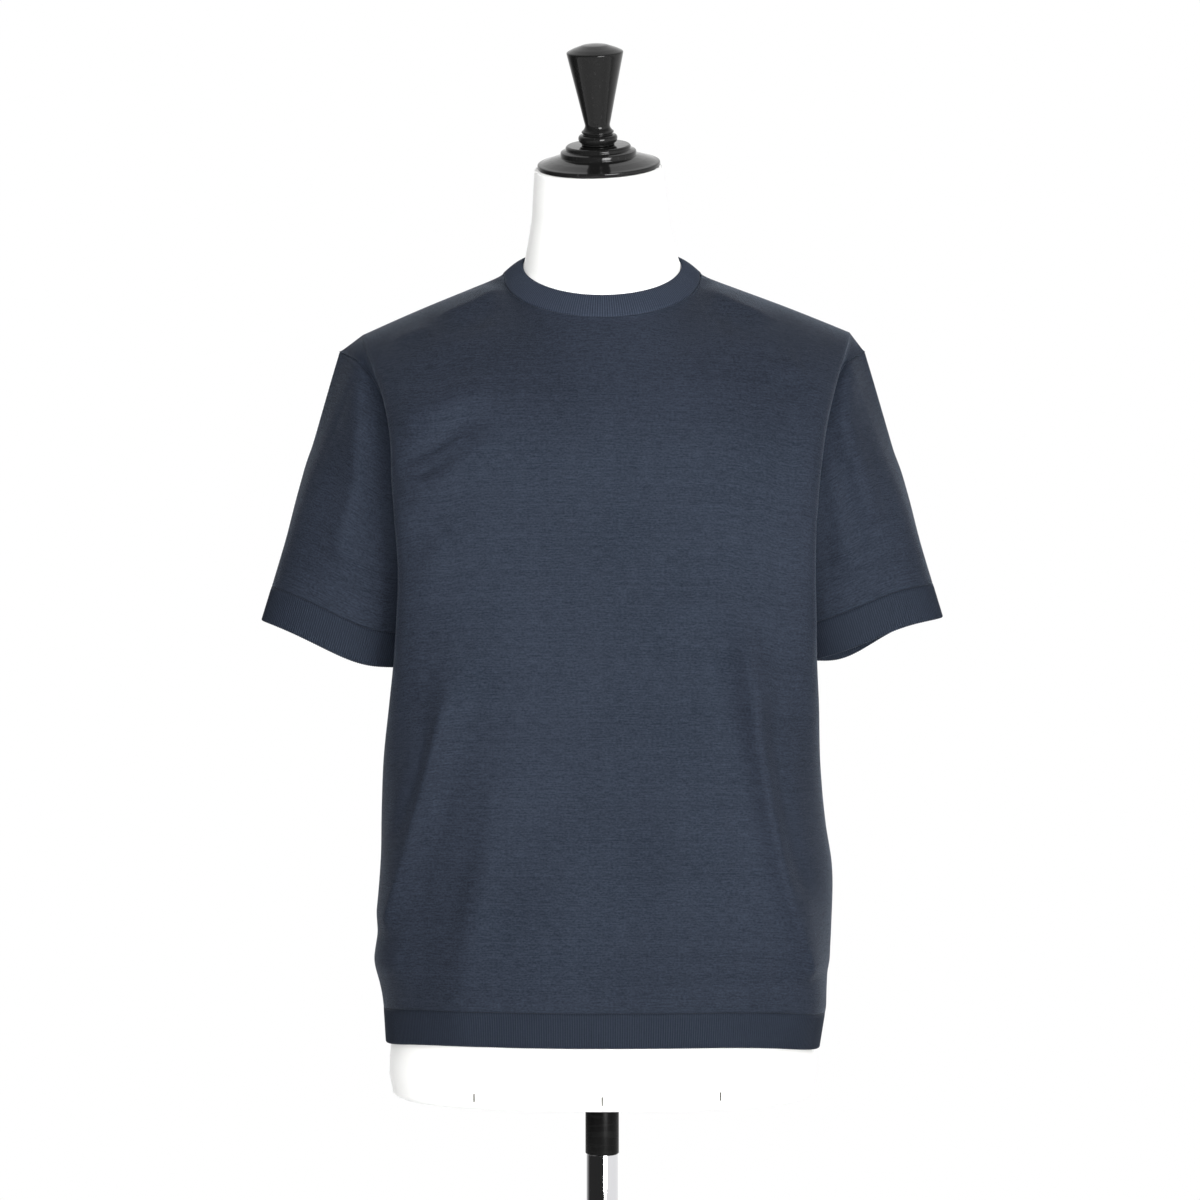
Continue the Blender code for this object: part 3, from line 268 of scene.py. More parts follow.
BACK_CREASES = (
    Fold(0.0016, 0.008, ((-0.122, 1.110), (-0.138, 1.030), (-0.160, 0.930), (-0.178, 0.810)), 0.011, 0.2),
    Fold(-0.0014, 0.012, ((-0.096, 1.100), (-0.114, 1.020), (-0.134, 0.930)), 0.010, 0.4),
    Fold(0.0010, 0.010, ((-0.043, 1.000), (-0.052, 0.920), (-0.066, 0.810)), 0.014, 0.3),
    Fold(0.0012, 0.010, ((0.074, 1.020), (0.086, 0.930), (0.098, 0.810)), 0.013, 0.3),
    Fold(0.0016, 0.008, ((0.131, 1.130), (0.146, 1.040), (0.163, 0.930), (0.179, 0.815)), 0.010, 0.2),
    Fold(-0.0014, 0.011, ((0.108, 1.120), (0.122, 1.030), (0.138, 0.940)), 0.012, 0.4),
    Fold(0.0030, 0.018, ((-0.182, 1.300), (-0.140, 1.272), (-0.092, 1.252)), 0.022, 0.5),
    Fold(-0.0022, 0.014, ((-0.184, 1.262), (-0.146, 1.240), (-0.106, 1.216)), 0.018, 0.5),
    Fold(0.0026, 0.016, ((0.186, 1.286), (0.150, 1.262), (0.112, 1.246)), 0.022, 0.5),
    Fold(-0.0020, 0.014, ((0.188, 1.250), (0.156, 1.226), (0.126, 1.196)), 0.018, 0.5),
    Fold(0.0016, 0.018, ((-0.070, 1.390), (-0.098, 1.350), (-0.112, 1.300)), 0.022, 0.5),
    Fold(0.0014, 0.018, ((0.064, 1.392), (0.090, 1.352), (0.108, 1.310)), 0.020, 0.5),
    Fold(0.0012, 0.016, ((0.010, 1.020), (0.016, 0.930), (0.014, 0.810)), 0.020, 0.4),
)
LEFT_SLEEVE_CREASES = (
    Fold(0.0012, 0.006, ((0.219, 1.366), (0.221, 1.320), (0.225, 1.262), (0.238, 1.205)), 0.009, 0.4),
    Fold(-0.0030, 0.009, ((0.209, 1.372), (0.211, 1.346), (0.213, 1.318)), 0.010, 0.5),
    Fold(0.0014, 0.012, ((0.262, 1.300), (0.272, 1.250), (0.286, 1.205)), 0.016, 0.5),
    Fold(-0.0014, 0.012, ((0.206, 1.260), (0.212, 1.220), (0.222, 1.170)), 0.014, 0.4),
)
RIGHT_SLEEVE_CREASES = (
    Fold(0.0012, 0.006, ((0.221, 1.366), (0.219, 1.335), (0.231, 1.269), (0.242, 1.230)), 0.009, 0.4),
    Fold(-0.0030, 0.008, ((0.214, 1.376), (0.214, 1.358), (0.211, 1.330)), 0.010, 0.5),
    Fold(0.0010, 0.006, ((0.205, 1.290), (0.209, 1.262), (0.217, 1.228)), 0.008, 0.5),
    Fold(-0.0014, 0.010, ((0.218, 1.290), (0.224, 1.250), (0.230, 1.210)), 0.012, 0.5),
    Fold(0.0014, 0.012, ((0.264, 1.296), (0.276, 1.244), (0.288, 1.200)), 0.016, 0.5),
)
LEFT_SLEEVE_BACK = (
    Fold(0.0040, 0.015, ((0.216, 1.392), (0.222, 1.330), (0.232, 1.260), (0.246, 1.190)), 0.018, 0.4),
    Fold(-0.0020, 0.012, ((0.204, 1.320), (0.210, 1.270), (0.220, 1.210)), 0.014, 0.5),
    Fold(0.0016, 0.014, ((0.256, 1.310), (0.268, 1.250), (0.278, 1.190)), 0.018, 0.5),
)
RIGHT_SLEEVE_BACK = (
    Fold(0.0036, 0.014, ((0.220, 1.390), (0.228, 1.326), (0.240, 1.256), (0.252, 1.200)), 0.018, 0.4),
    Fold(-0.0022, 0.012, ((0.208, 1.316), (0.216, 1.262), (0.228, 1.204)), 0.014, 0.5),
    Fold(0.0018, 0.013, ((0.262, 1.300), (0.272, 1.240), (0.280, 1.186)), 0.018, 0.5),
)
SleeveRow = namedtuple("SleeveRow", "sign cuff folds creases back_folds")
SLEEVES = {
    "left": SleeveRow(LEFT, CUFF_LEFT, LEFT_SLEEVE_FOLDS, LEFT_SLEEVE_CREASES, LEFT_SLEEVE_BACK),
    "right": SleeveRow(RIGHT, CUFF_RIGHT, RIGHT_SLEEVE_FOLDS, RIGHT_SLEEVE_CREASES, RIGHT_SLEEVE_BACK),
}
FOLD_FADE = 0.30  # share of a path over which its fold rises from nothing
FOLD_STRETCHES = 14  # of a fold's path
FOLD_WRAP = 0.6  # share of a fold's height that is left where the cloth faces sideways
FOLD_EDGE = 3.0  # how fast that changes
SEAM_CALM = 8  # rows below the neck and the shoulder seams over which the folds fade
SIDE_EASE = 10  # rows or columns over which a gap at a side seam is closed
NORMAL_ROUNDS = 3  # of sharing normals across the seams, which meet at their ends
WELT = 0.0008  # height of a panel's edge over the collar and the sleeves that are sewn to it
WELT_REACH = 2.0  # rows or columns
WELT_FADE = 0.05  # in column parameter, beyond the neck point
WELT_RUN = 8  # rows above the underarm
HEM_SLACK = 0.45  # share of the folds' height that is left at the free edge of a band

# The form, in the same columns as the shirt's panels: level, half width, half width at the
# seam of front and back, depth of the front, depth of the back, fold and power
FORM_LEVELS = (
    (0.7030, 0.1850, 0.185, 0.118, 0.118, 0.010, 2.2),
    (0.7055, 0.1900, 0.190, 0.123, 0.123, 0.010, 2.2),
    (0.7110, 0.1922, 0.192, 0.1255, 0.1255, 0.010, 2.2),
    (0.7600, 0.1932, 0.193, 0.127, 0.130, 0.010, 2.2),
    (0.8300, 0.1925, 0.192, 0.126, 0.132, 0.010, 2.2),
    (0.9000, 0.1860, 0.186, 0.121, 0.128, 0.010, 2.2),
    (0.9700, 0.1740, 0.174, 0.114, 0.118, 0.010, 2.2),
    (1.0400, 0.1620, 0.162, 0.108, 0.108, 0.010, 2.2),
    (1.1100, 0.1540, 0.154, 0.108, 0.106, 0.010, 2.2),
    (1.1850, 0.1560, 0.156, 0.114, 0.114, 0.010, 2.2),
    (1.2400, 0.1640, 0.164, 0.118, 0.120, 0.010, 2.3),
    (1.2900, 0.1700, 0.170, 0.117, 0.122, 0.012, 2.3),
)
FORM_FRONT, FORM_BACK = (
    tuple(
        Section(z, half, half, depths[side], fold, seam, seam, power)
        for z, half, seam, *depths, fold, power in FORM_LEVELS
    )
    for side in (0, 1)
)
FORM_SIDE = (
    Hole(1.290, 0.170, 0.170, 0.000, 0.000),
    Hole(1.330, 0.178, 0.178, -0.001, 0.001),
    Hole(1.365, 0.190, 0.190, -0.003, 0.003),
    Hole(1.395, 0.204, 0.204, -0.005, 0.005),
)
FORM_BEND = 0.83  # share of the shirt's straight shoulder seam that the form's shoulder fills
FORM_TIP = (0.204, 0.005, 1.395)

# Neck of the form above the collar: level, half width, middle in depth, tilt in degrees, and
# middle sideways
NeckLevel = namedtuple("NeckLevel", "z half middle tilt side")
NECK_LEVELS = (
    NeckLevel(1.4960, 0.0650, 0.0050, 3.0, -0.0018),
    NeckLevel(1.5120, 0.0625, 0.0000, 8.0, -0.0022),
    NeckLevel(1.5280, 0.0608, -0.0060, 12.0, -0.0029),
    NeckLevel(1.5500, 0.0586, -0.0150, 18.0, -0.0036),
    NeckLevel(1.5524, 0.0577, -0.0158, 18.0, -0.0036),
    NeckLevel(1.5534, 0.0555, -0.0161, 18.0, -0.0036),
)
NECK_TILT = 18.0  # degrees forward, of the neck's top and what stands on it
NECK_ROLL = 2.0  # degrees to the side
CAP_OFFSET = -0.003  # sideways, of the cap and the knob

# Turned pieces: profiles of (radius, height), from the middle of the top to that of the foot
CAP_PROFILE = (
    (0.0, 0.0205), (0.0285, 0.0205), (0.0300, 0.0190), (0.0300, 0.0165), (0.0345, 0.0150),
    (0.0350, 0.0125), (0.0350, 0.0105), (0.0440, 0.0080), (0.0525, 0.0050), (0.0558, 0.0042),
    (0.0563, 0.0035), (0.0563, 0.0005), (0.0558, 0.0), (0.0, 0.0),
)
KNOB_PROFILE = (
    (0.0, 0.0921), (0.0110, 0.0909), (0.0200, 0.0877), (0.0252, 0.0852), (0.0259, 0.0843),
    (0.0257, 0.0828), (0.0171, 0.0441), (0.0122, 0.0215), (0.0113, 0.0182), (0.0117, 0.0156),
    (0.0136, 0.0130), (0.0148, 0.0124), (0.0148, 0.0112), (0.0137, 0.0106), (0.0137, 0.0096),
    (0.0166, 0.0090), (0.0179, 0.0074), (0.0180, 0.0050), (0.0170, 0.0026), (0.0153, 0.0017),
    (0.0153, 0.0), (0.0, 0.0),
)
SOCKET_RADIUS = 0.0154
SOCKET_BOTTOM = 0.648
POLE_RADIUS = 0.01425
FORM_BOTTOM = 0.703
BASE_PROFILE = (
    (0.0, 0.0420), (0.0200, 0.0420), (0.0225, 0.0395), (0.0235, 0.0240), (0.0300, 0.0180),
    (0.0600, 0.0150), (0.1940, 0.0100), (0.1985, 0.0085), (0.2000, 0.0060), (0.2000, 0.0015),
    (0.1985, 0.0), (0.0, 0.0),
)
PART_GAP = 0.0003  # between the turned pieces
TURNED_STEPS = 120
CORNER_STEPS = 5
CORNER_SHARE = 0.49  # of a profile's side, that the rounding of one corner may take
# How far the turned pieces' corners are rounded over
CAP_ROUNDING = 0.0008
KNOB_ROUNDING = 0.0016
SOCKET_ROUNDING = 0.0010
POLE_ROUNDING = 0.0006
BASE_ROUNDING = 0.0016

# Columns on each side of a panel's middle, and rows
NECK_COLUMNS = 26
SHOULDER_COLUMNS = 44
FOLD_COLUMNS = 22
BODY_ROWS = 136
ARMHOLE_LEVELS = (1.185, 1.194, 1.212, 1.238, 1.264, 1.290)
ARMHOLE_STEPS = 8  # between two of these levels
TOP_ROWS = 72
SLEEVE_ROWS = 66
BAND_ROWS = 8
FORM_FOOT_ROWS = 8
FORM_ROWS = 44
NECK_STEPS = 6  # between two of the form's neck levels below its top edge
NECK_EDGE_LEVELS = 2  # that round its top edge
NECK_EDGE_STEPS = 4  # between two of these
RIB_COLUMNS = 4
RIM_TURNS = (math.pi / 4, math.pi / 2, 3 * math.pi / 4)  # round a wall's edge, from face to face

BESIDE_NECK = FOLD_COLUMNS + SHOULDER_COLUMNS
NECK = slice(BESIDE_NECK, -BESIDE_NECK)  # a panel's columns that end at the neck

# Shares of a panel's column parameter, and of its half width, that the neck takes
NECK_SHARE = 0.40
FOLD_SHARE = 0.82
NECK_REACH = 0.43
CORNER_CROWDING = 1.6  # above 1 crowds columns towards the fold
RIM_LEAD = 1.25  # above 1 puts the rows' ends further up the armhole
SLOPE_STEP = 0.010  # below the chest, to read the slope of the cloth there

# The cut of each piece of cloth: width, length and area
Cut = namedtuple("Cut", "width length area")

# Short thread marks on the form's cover: where each stands, as (x, height of its middle)
FORM_MARKS = ((-0.1140, 0.7140), (0.0, 0.7135), (0.1050, 0.7160))
MARK_LENGTH = 0.0068
MARK_WIDTH = 0.0016
MARK_RELIEF = 0.0006
MARK_BEADS = 7  # of thread, one over the other in each mark
MARK_BEAD = MARK_LENGTH / 5  # height of one bead

SHARP_EDGE = 50.0  # degrees, above which an edge of the form stays sharp
MERGE_DISTANCE = 1e-6  # within which points of the form's halves and neck become one
ROUNDING_ERROR = 1e-6  # in column parameter

STITCH_DEPTH = 0.0015  # under the face of the cloth
BAND_STITCH_DEPTH = 0.0008  # at the hem and the cuffs
STITCH_WIDTH = 0.0009
STITCH_OVERLAP = 1.25  # length of a stitch against the pitch
STITCH_SEGMENTS = 6
STITCH_RINGS = 4
LOW_BANDS = ("hem_band", "cuff_band_left", "cuff_band_right")

LEG_SLANT = 0.45  # rise of a knitted stitch's leg from its foot to its top, in courses
# Painted light: the collar gets a lighter copy of the bands' rib, for the brighter light that falls on it
COLLAR_PAINTED_LIGHT = 1.75  # lightness of the collar's rib against the other bands'

# Gloss of the yarn, the same in the jersey and the rib
YARN_GLOSS = {
    "sheen_weight": 0.10,
    "sheen_roughness": 0.22,
    "sheen_tint": (0.52, 0.64, 0.84, 1.0),
    "specular_ior_level": 0.08,
    "specular_tint": (0.60, 0.78, 1.0, 1.0),
}

COVER_SEAM = 0.0008  # half width of the tone of the cover's middle seam
COVER_GROOVE = 0.0010  # half width of its groove
COVER_SEAM_TOP = 1.20

WHITE = (1.0, 1.0, 1.0, 1.0)
FLOOR_RADIUS = 3.0
FLOOR_SEGMENTS = 96
FLOOR_FADE = (1.4, 2.8)  # radii between which the floor turns into the white surround

# Softboxes, whose powers are settings of the same names: place, target, size, spread in
# degrees, and whether the softbox shows in glossy surfaces
Softbox = namedtuple("Softbox", "place target size spread mirrored", defaults=(False,))
SOFTBOXES = {
    "key_light": Softbox((1.30, -2.96, 1.20), (0.06, 0, 1.26), (1.5, 1.6), 70.0, mirrored=True),
    "fill_light": Softbox((-1.45, -2.90, 1.15), (0, 0, 1.16), (1.5, 1.6), 70.0),
    "front_light": Softbox((0.3, -3.3, 1.45), (0.03, 0, 1.5), (2.0, 1.4), 70.0),
    "left_strip": Softbox((-2.5, -0.8, 1.0), (0, 0, 1.0), (0.8, 1.8), 90.0),
    "right_strip": Softbox((2.6, -0.2, 1.1), (0, 0, 1.1), (0.8, 1.8), 90.0),
    "back_light": Softbox((-0.6, 3.2, 1.5), (0, 0, 1.1), (2.0, 1.6), 90.0),
}

# White surround: how far a direction points up and back before it is bright, how much dimmer
# the room in front is in a glossy surface, and the bright panel at the right that shows there
SURROUND_LEAN = 0.7
SURROUND_RISE = (0.1, 0.95)
MIRRORED_DIMMING = 0.75
PANEL_SIDE = (0.18, 0.42)
PANEL_HEIGHT = (0.25, 0.6)
PANEL_STRENGTH = 0.95

SENSOR_WIDTH = 36.0
CAMERA_SIDE = -0.002


def curve(stations, values, at):
    """Values between stations, on a cubic through all of them."""
    stations = np.asarray(stations, float)
    values = np.asarray(values, float)
    slopes = np.gradient(values, stations, axis=0)
    at = np.clip(at, stations[0], stations[-1])
    i = np.clip(np.searchsorted(stations, at, side="right") - 1, 0, len(stations) - 2)
    span = stations[i + 1] - stations[i]
    f = (at - stations[i]) / span
    if values.ndim > 1:
        f, span = f[..., None], span[..., None]
    g = 1 - f
    return (
        values[i] * g * g * (1 + 2 * f)
        + values[i + 1] * f * f * (3 - 2 * f)
        + span * f * g * (slopes[i] * g - slopes[i + 1] * f)
    )


def read(table, column, at):
    return curve([row.z for row in table], [getattr(row, column) for row in table], at)


def sided(table, c, at):
    """The table's left column where c is below 0, and its right column elsewhere."""
    return np.where(c < 0, read(table, "left", at), read(table, "right", at))


def hermite(start, leave, end, arrive, t):
    f = t[..., None]
    g = 1 - f
    return start * g * g * (1 + 2 * f) + end * f * f * (3 - 2 * f) + f * g * (leave * g - arrive * f)


def unit(vectors):
    return vectors / np.maximum(np.linalg.norm(vectors, axis=-1, keepdims=True), 1e-12)


def square_to(vectors, *axes):
    """Unit vectors in the same direction, but square to each of the axes."""
    for axis in axes:
        vectors = vectors - axis * (vectors * axis).sum(axis=-1, keepdims=True)
    return unit(vectors)


def turns_round(count):
    """So many angles, evenly spaced round a circle."""
    return np.arange(count) * 2 * math.pi / count


def travelled(points, axis):
    """How far each point is along its row or column from the first."""
    steps = np.linalg.norm(np.diff(points, axis=axis), axis=-1)
    start = np.zeros_like(np.take(steps, [0], axis=axis))
    return np.concatenate([start, np.cumsum(steps, axis=axis)], axis=axis)


def columns():
    """Column parameters from the left edge of a panel, -1, to its right edge, 1."""
    half = np.concatenate(
        [
            np.linspace(0, NECK_SHARE, NECK_COLUMNS + 1)[:-1],
            np.linspace(NECK_SHARE, FOLD_SHARE, SHOULDER_COLUMNS + 1)[:-1],
            np.linspace(FOLD_SHARE, 1, FOLD_COLUMNS + 1),
        ]
    )
    return np.concatenate([-half[:0:-1], half])


def along_shoulder(c):
    """How far column c is from the neck point to the bend, and from the bend to the edge."""
    shoulder = np.clip((np.abs(c) - NECK_SHARE) / (FOLD_SHARE - NECK_SHARE), 0, 1)
    fold = np.clip((np.abs(c) - FOLD_SHARE) / (1 - FOLD_SHARE), 0, 1)
    return shoulder, fold


def section(table, facing, c, z, seam_depth, lift=NO_LIFT):
    """Points of a panel's level section at height z, at columns c."""
    shoulder, fold = along_shoulder(c)
    neck = NECK_REACH * np.clip(np.abs(c) / NECK_SHARE, 0, 1)
    q = np.where(np.abs(c) < NECK_SHARE, neck, 1 - (1 - NECK_REACH) * (1 - shoulder) ** CORNER_CROWDING)
    wide = sided(table, c, z)
    seam = np.where(c < 0, read(table, "seam_left", z), read(table, "seam_right", z))
    corner = read(table, "fold", z)
    depth = read(table, "depth", z)
    power = read(table, "power", z)
    x = wide * q + (seam - wide) * fold * fold * (3 - 2 * fold)
    y = corner + (depth - corner) * (1 - q**power) ** (1 / power) + (seam_depth - corner) * fold
    fade = np.clip(1 - (z - HEM_EDGE) / HEM_FADE, 0, 1) ** 2
    rise = lift.height * (1 - q ** np.where(c < 0, lift.left, lift.right))
    rise = fade * (rise + lift.corner * (c < 0) * q**HEM_CORNER_POWER)
    return np.stack([np.sign(c) * x, facing * y, z + rise], axis=-1)


def level_rows(table, facing, lift, levels):
    c = columns()
    return [section(table, facing, c, z + 0 * c, 0.0, lift) for z in levels]


def neck_ring(ring, angle):
    """Points of a ring round the neck. Angle 0 is the middle of the front."""
    side, ahead = np.sin(angle), np.cos(angle)
    behind = np.clip(np.abs(angle) - math.pi / 2, 0, None)
    return np.stack(
        [
            ring.half_width * side,
            ring.middle - np.where(ahead > 0, ring.front, ring.back) * ahead,
            ring.side_height
            - ring.drop * np.clip(ahead, 0, None)
            + ring.rise * (1 - np.exp(-ring.drop * behind / ring.rise)),
        ],
        axis=-1,
    )


def neck_angle(c, facing):
    turn = np.clip(c / NECK_SHARE, -1, 1) * math.pi / 2
    if facing == FACING["front"]:
        return turn
    return np.where(c < 0, -1.0, 1.0) * math.pi - turn


def neck_angles():
    """Angles round the neck: along the front from left to right, then along the back."""
    c = columns()[NECK]
    back = neck_angle(c, FACING["back"])[-2:0:-1]
    return np.concatenate([neck_angle(c, FACING["front"]), back])


def top_edge(c, facing):
    """The neck seam and, beyond it, the shoulder seam."""
    shoulder, fold = along_shoulder(c)
    at_neck = neck_ring(NECK_SEAM, neck_angle(c, facing))
    sign = np.sign(c)[..., None] * np.array([1, 0, 0]) + np.array([0, 1, 1])
    neck_point = neck_ring(NECK_SEAM, np.array(math.pi / 2))
    bend = np.where(c[..., None] < 0, BEND_LEFT, BEND_RIGHT)
    crown = SHOULDER_CROWN * np.sin(math.pi * shoulder)[..., None] * np.array([0, 0, 1])
    out = neck_point + (bend - neck_point) * shoulder[..., None] + crown
    out = out + (np.array(TIP) - bend) * fold[..., None]
    return np.where((np.abs(c) < NECK_SHARE)[..., None], at_neck, out * sign)


def arrival(slopes, c, facing):
    """Unit vectors along which the columns run into the top edge."""
    shoulder, _ = along_shoulder(c)
    neck = np.clip(np.abs(c) / NECK_SHARE, 0, 1) ** 2
    slope = np.radians(curve(SLOPE_PLACES, slopes, neck + shoulder))
    return np.stack([0 * slope, -facing * np.cos(slope), np.sin(slope)], axis=-1)


def edge_point(table, c, facing, z):
    """The outer edge of a panel, at height z: the armhole seam, or the form's side."""
    reach = read(table, "front" if facing == FACING["front"] else "back", z)
    return np.stack([np.sign(c) * sided(table, c, z), facing * reach, z + 0 * c], axis=-1)


def over_the_top(table, edge, top, arrive, pull, c, facing, t):
    """Points from the chest level, t = 0, to the top edge, t = 1, at columns c."""
    _, fold = along_shoulder(c)
    inner = np.sign(c) * np.minimum(np.abs(c), FOLD_SHARE)
    start = section(table, facing, inner, CHEST + 0 * c, 0.0)
    below = section(table, facing, inner, CHEST - SLOPE_STEP + 0 * c, 0.0)
    chord = np.linalg.norm(top - start, axis=-1, keepdims=True)
    leave = unit(start - below) * chord * pull.rise
    full = np.exp(-(((np.abs(c) - NECK_SHARE) / NAPE_SPREAD) ** 2))[:, None]
    full = 1 + NAPE_FULLNESS * full * (facing == FACING["back"])
    points = hermite(start, leave, top, arrive * chord * pull.arrival * full, t)
    # Beyond the fold, the cloth runs back from it to the armhole seam
    rim_z = CHEST + (edge[-1].z - CHEST) * (1 - (1 - t) ** RIM_LEAD)
    rim = edge_point(edge, c, facing, rim_z)
    soft = fold * fold * (3 - 2 * fold)
    share = np.stack([soft + (fold - soft) * t * t, fold, fold], axis=-1)
    return points + (rim - points) * share


def panel(table, edge, lift, slopes, facing, levels, hole_levels, pull=CLOTH_PULL, top=None):
    """Grid of points, rows from the bottom up and columns from left to right."""
    c = columns()
    top = top_edge(c, facing) if top is None else top
    rows = level_rows(table, facing, lift, levels)
    for z in hole_levels[1:]:
        depth = read(edge, "front" if facing == FACING["front"] else "back", z)
        rows.append(section(table, facing, c, z + 0 * c, depth))
    inner = np.minimum(np.abs(c), FOLD_SHARE) * np.sign(c)
    bend = np.stack([np.interp(inner, c, top[:, i]) for i in range(3)], axis=-1)
    arrive = arrival(slopes, c, facing)
    for t in np.linspace(0, 1, TOP_ROWS + 1)[1:]:
        rows.append(over_the_top(table, edge, bend, arrive, pull, c, facing, t + 0 * c))
    rows[-1] = top
    return softened(np.array(rows))


def softened(grid):
    """The grid with the crease taken out that would run down from each neck point."""
    near = np.exp(-(((np.abs(columns()) - NECK_SHARE) / NECK_SPREAD) ** 2))[1:-1]
    down = np.clip(np.arange(TOP_ROWS, -1, -1) / NECK_SOFT_ROWS, 0, 1)
    share = (0.5 * down[:, None] * near)[..., None]
    top = grid[-TOP_ROWS - 1 :]
    for _ in range(NECK_SOFT_ROUNDS):
        mean = (top[:, :-2] + top[:, 2:]) / 2
        top[:, 1:-1] += (mean - top[:, 1:-1]) * share
    return grid


def fold_height(fold, x, z):
    """Height of a fold at (x, z): full along its path, fading in at the start."""
    corners = np.array(fold.path)
    stations = travelled(corners, 0)
    path = curve(stations, corners, np.linspace(0, stations[-1], FOLD_STRETCHES + 1))
    nearest = np.full(np.shape(x), np.inf)
    share = np.zeros(np.shape(x))
    turn = np.zeros(np.shape(x))
    for i, (a, b) in enumerate(zip(path[:-1], path[1:])):
        run = b - a
        f = np.clip(((x - a[0]) * run[0] + (z - a[1]) * run[1]) / (run @ run), 0, 1)
        off_x, off_z = x - a[0] - f * run[0], z - a[1] - f * run[1]
        away = np.hypot(off_x, off_z)
        closer = away < nearest
        nearest = np.where(closer, away, nearest)
        share = np.where(closer, (i + f) / FOLD_STRETCHES, share)
        turn = np.where(closer, run[0] * off_z - run[1] * off_x, turn)
    width = np.where(turn > 0, fold.width, fold.other or fold.width)
    fade = np.clip(share / FOLD_FADE, 0, 1)
    fade = fade * fade * (3 - 2 * fade)
    if fold.out:
        leave = np.clip((1 - share) / fold.out, 0, 1)
        fade = fade * leave * leave * (3 - 2 * leave)
    return fold.height * np.exp(-((nearest / width) ** fold.power)) * fade


class Cloth:
    """A sheet of cloth as a grid of points on its outer face, and its thickness."""

    def __init__(self, name, points, thickness, outward, ring=False):
        self.name = name
        self.points = points
        self.thickness = thickness
        self.outward = outward
        self.ring = ring
        self.measure_normals()

    def measure_normals(self):
        wrapped = self.points
        if self.ring:
            wrapped = np.concatenate([wrapped[:, -1:], wrapped, wrapped[:, :1]], axis=1)
        up = np.gradient(wrapped, axis=0)
        across = np.gradient(wrapped, axis=1)
        normals = unit(np.cross(across, up)) * self.outward
        self.normals = normals[:, 1:-1] if self.ring else normals

    def raise_folds(self, folds, facing, strength=1.0):
        """Moves the outer face along its normals, by the folds of one side."""
        seen = self.normals[..., 1] * facing
        side = np.clip(seen * FOLD_EDGE + FOLD_WRAP, 0, 1)
        x, z = self.points[..., 0], self.points[..., 2]
        if self.ring:
            x = np.abs(x)
        lift = strength * sum(fold_height(fold, x, z) for fold in folds)
        if not self.ring:
            below = np.clip(np.arange(len(x))[::-1] / SEAM_CALM, 0, 1)
            lift = lift * (below * below * (3 - 2 * below))[:, None]
        self.points = self.points + self.normals * (lift * side)[..., None]
        self.measure_normals()

    def bottom(self, across=slice(None)):
        return (self, (0, across), (1, across))

    def top(self, across=slice(None)):
        return (self, (-1, across), (-2, across))

    def left(self, up=slice(None)):
        return (self, (up, 0), (up, 1))

    def right(self, up=slice(None)):
        return (self, (up, -1), (up, -2))

    def unrolled(self):
        """Where each point lies in the cut, in metres, and the way round a ring."""
        up = travelled(self.points, 0)
        if not self.ring:
            across = travelled(self.points, 1)
            across = across - across[:, across.shape[1] // 2][:, None]
            return np.stack([across, up], axis=-1), np.zeros(2)
        closed = np.concatenate([self.points, self.points[:, :1]], axis=1)
        way = travelled(closed, 1).mean(axis=0)
        across = np.broadcast_to(way[:-1], up.shape)
        return np.stack([across, up[-1] - up], axis=-1), np.array([way[-1], 0.0])

    def edges(self):
        """Closed loops of places round the sheet's border, with the ways out of the sheet."""
        rows, count = self.points.shape[:2]
        if self.ring:
            whole = np.arange(count)
            return [
                ((np.full(count, row), whole), self.way_out((row, whole), (inner, whole)))
                for row, inner in ((0, 1), (rows - 1, rows - 2))
            ]
        across, up = np.arange(count), np.arange(rows)
        sides = (
            ((0 * across, across), (0 * across + 1, across)),
            ((up, 0 * up + count - 1), (up, 0 * up + count - 2)),
            ((0 * across + rows - 1, across[::-1]), (0 * across + rows - 2, across[::-1])),
            ((up[::-1], 0 * up), (up[::-1], 0 * up + 1)),
        )
        outs = [self.way_out(*side) for side in sides]
        for i, out in enumerate(outs):
            following = outs[(i + 1) % 4]
            corner = unit(out[-1] + following[0])
            out[-1] = corner
            following[0] = corner
        row = np.concatenate([side[0][0][:-1] for side in sides])
        column = np.concatenate([side[0][1][:-1] for side in sides])
        return [((row, column), np.concatenate([out[:-1] for out in outs]))]

    def way_out(self, at, inner):
        """Unit vectors out of the sheet, in its face and square to its border."""
        line = self.points[at]
        out = line - self.points[inner]
        if self.ring:
            along = unit(np.roll(line, -1, axis=0) - np.roll(line, 1, axis=0))
        else:
            along = unit(np.gradient(line, axis=0))
        return square_to(out, along, self.normals[at])

    def way_round(self):
        """How far each column of a ring's middle row is from the first, and the whole way."""
        middle = self.points[len(self.points) // 2]
        return travelled(np.concatenate([middle, middle[:1]])[None], 1)[0]

    def resampled(self, count):
        """The same ring with so many columns, evenly spaced round its middle row."""
        way = self.way_round()
        at = np.interp(np.arange(count) * way[-1] / count, way, np.arange(len(way)))
        made = Cloth(self.name, cyclic(self.points, at), self.thickness, self.outward, ring=True)
        made.normals = unit(cyclic(self.normals, at))
        return made


def cyclic(grid, at):
    """Values of a ring grid's rows at column places, on a cubic that runs round the ring."""
    count = grid.shape[1]
    i = np.floor(at).astype(int)
    f = (at - i)[None, :, None]
    a, b, c, d = (grid[:, (i + k) % count] for k in (-1, 0, 1, 2))
    return b + f / 2 * (c - a + f * (2 * a - 5 * b + 4 * c - d + f * (3 * (b - c) + d - a)))


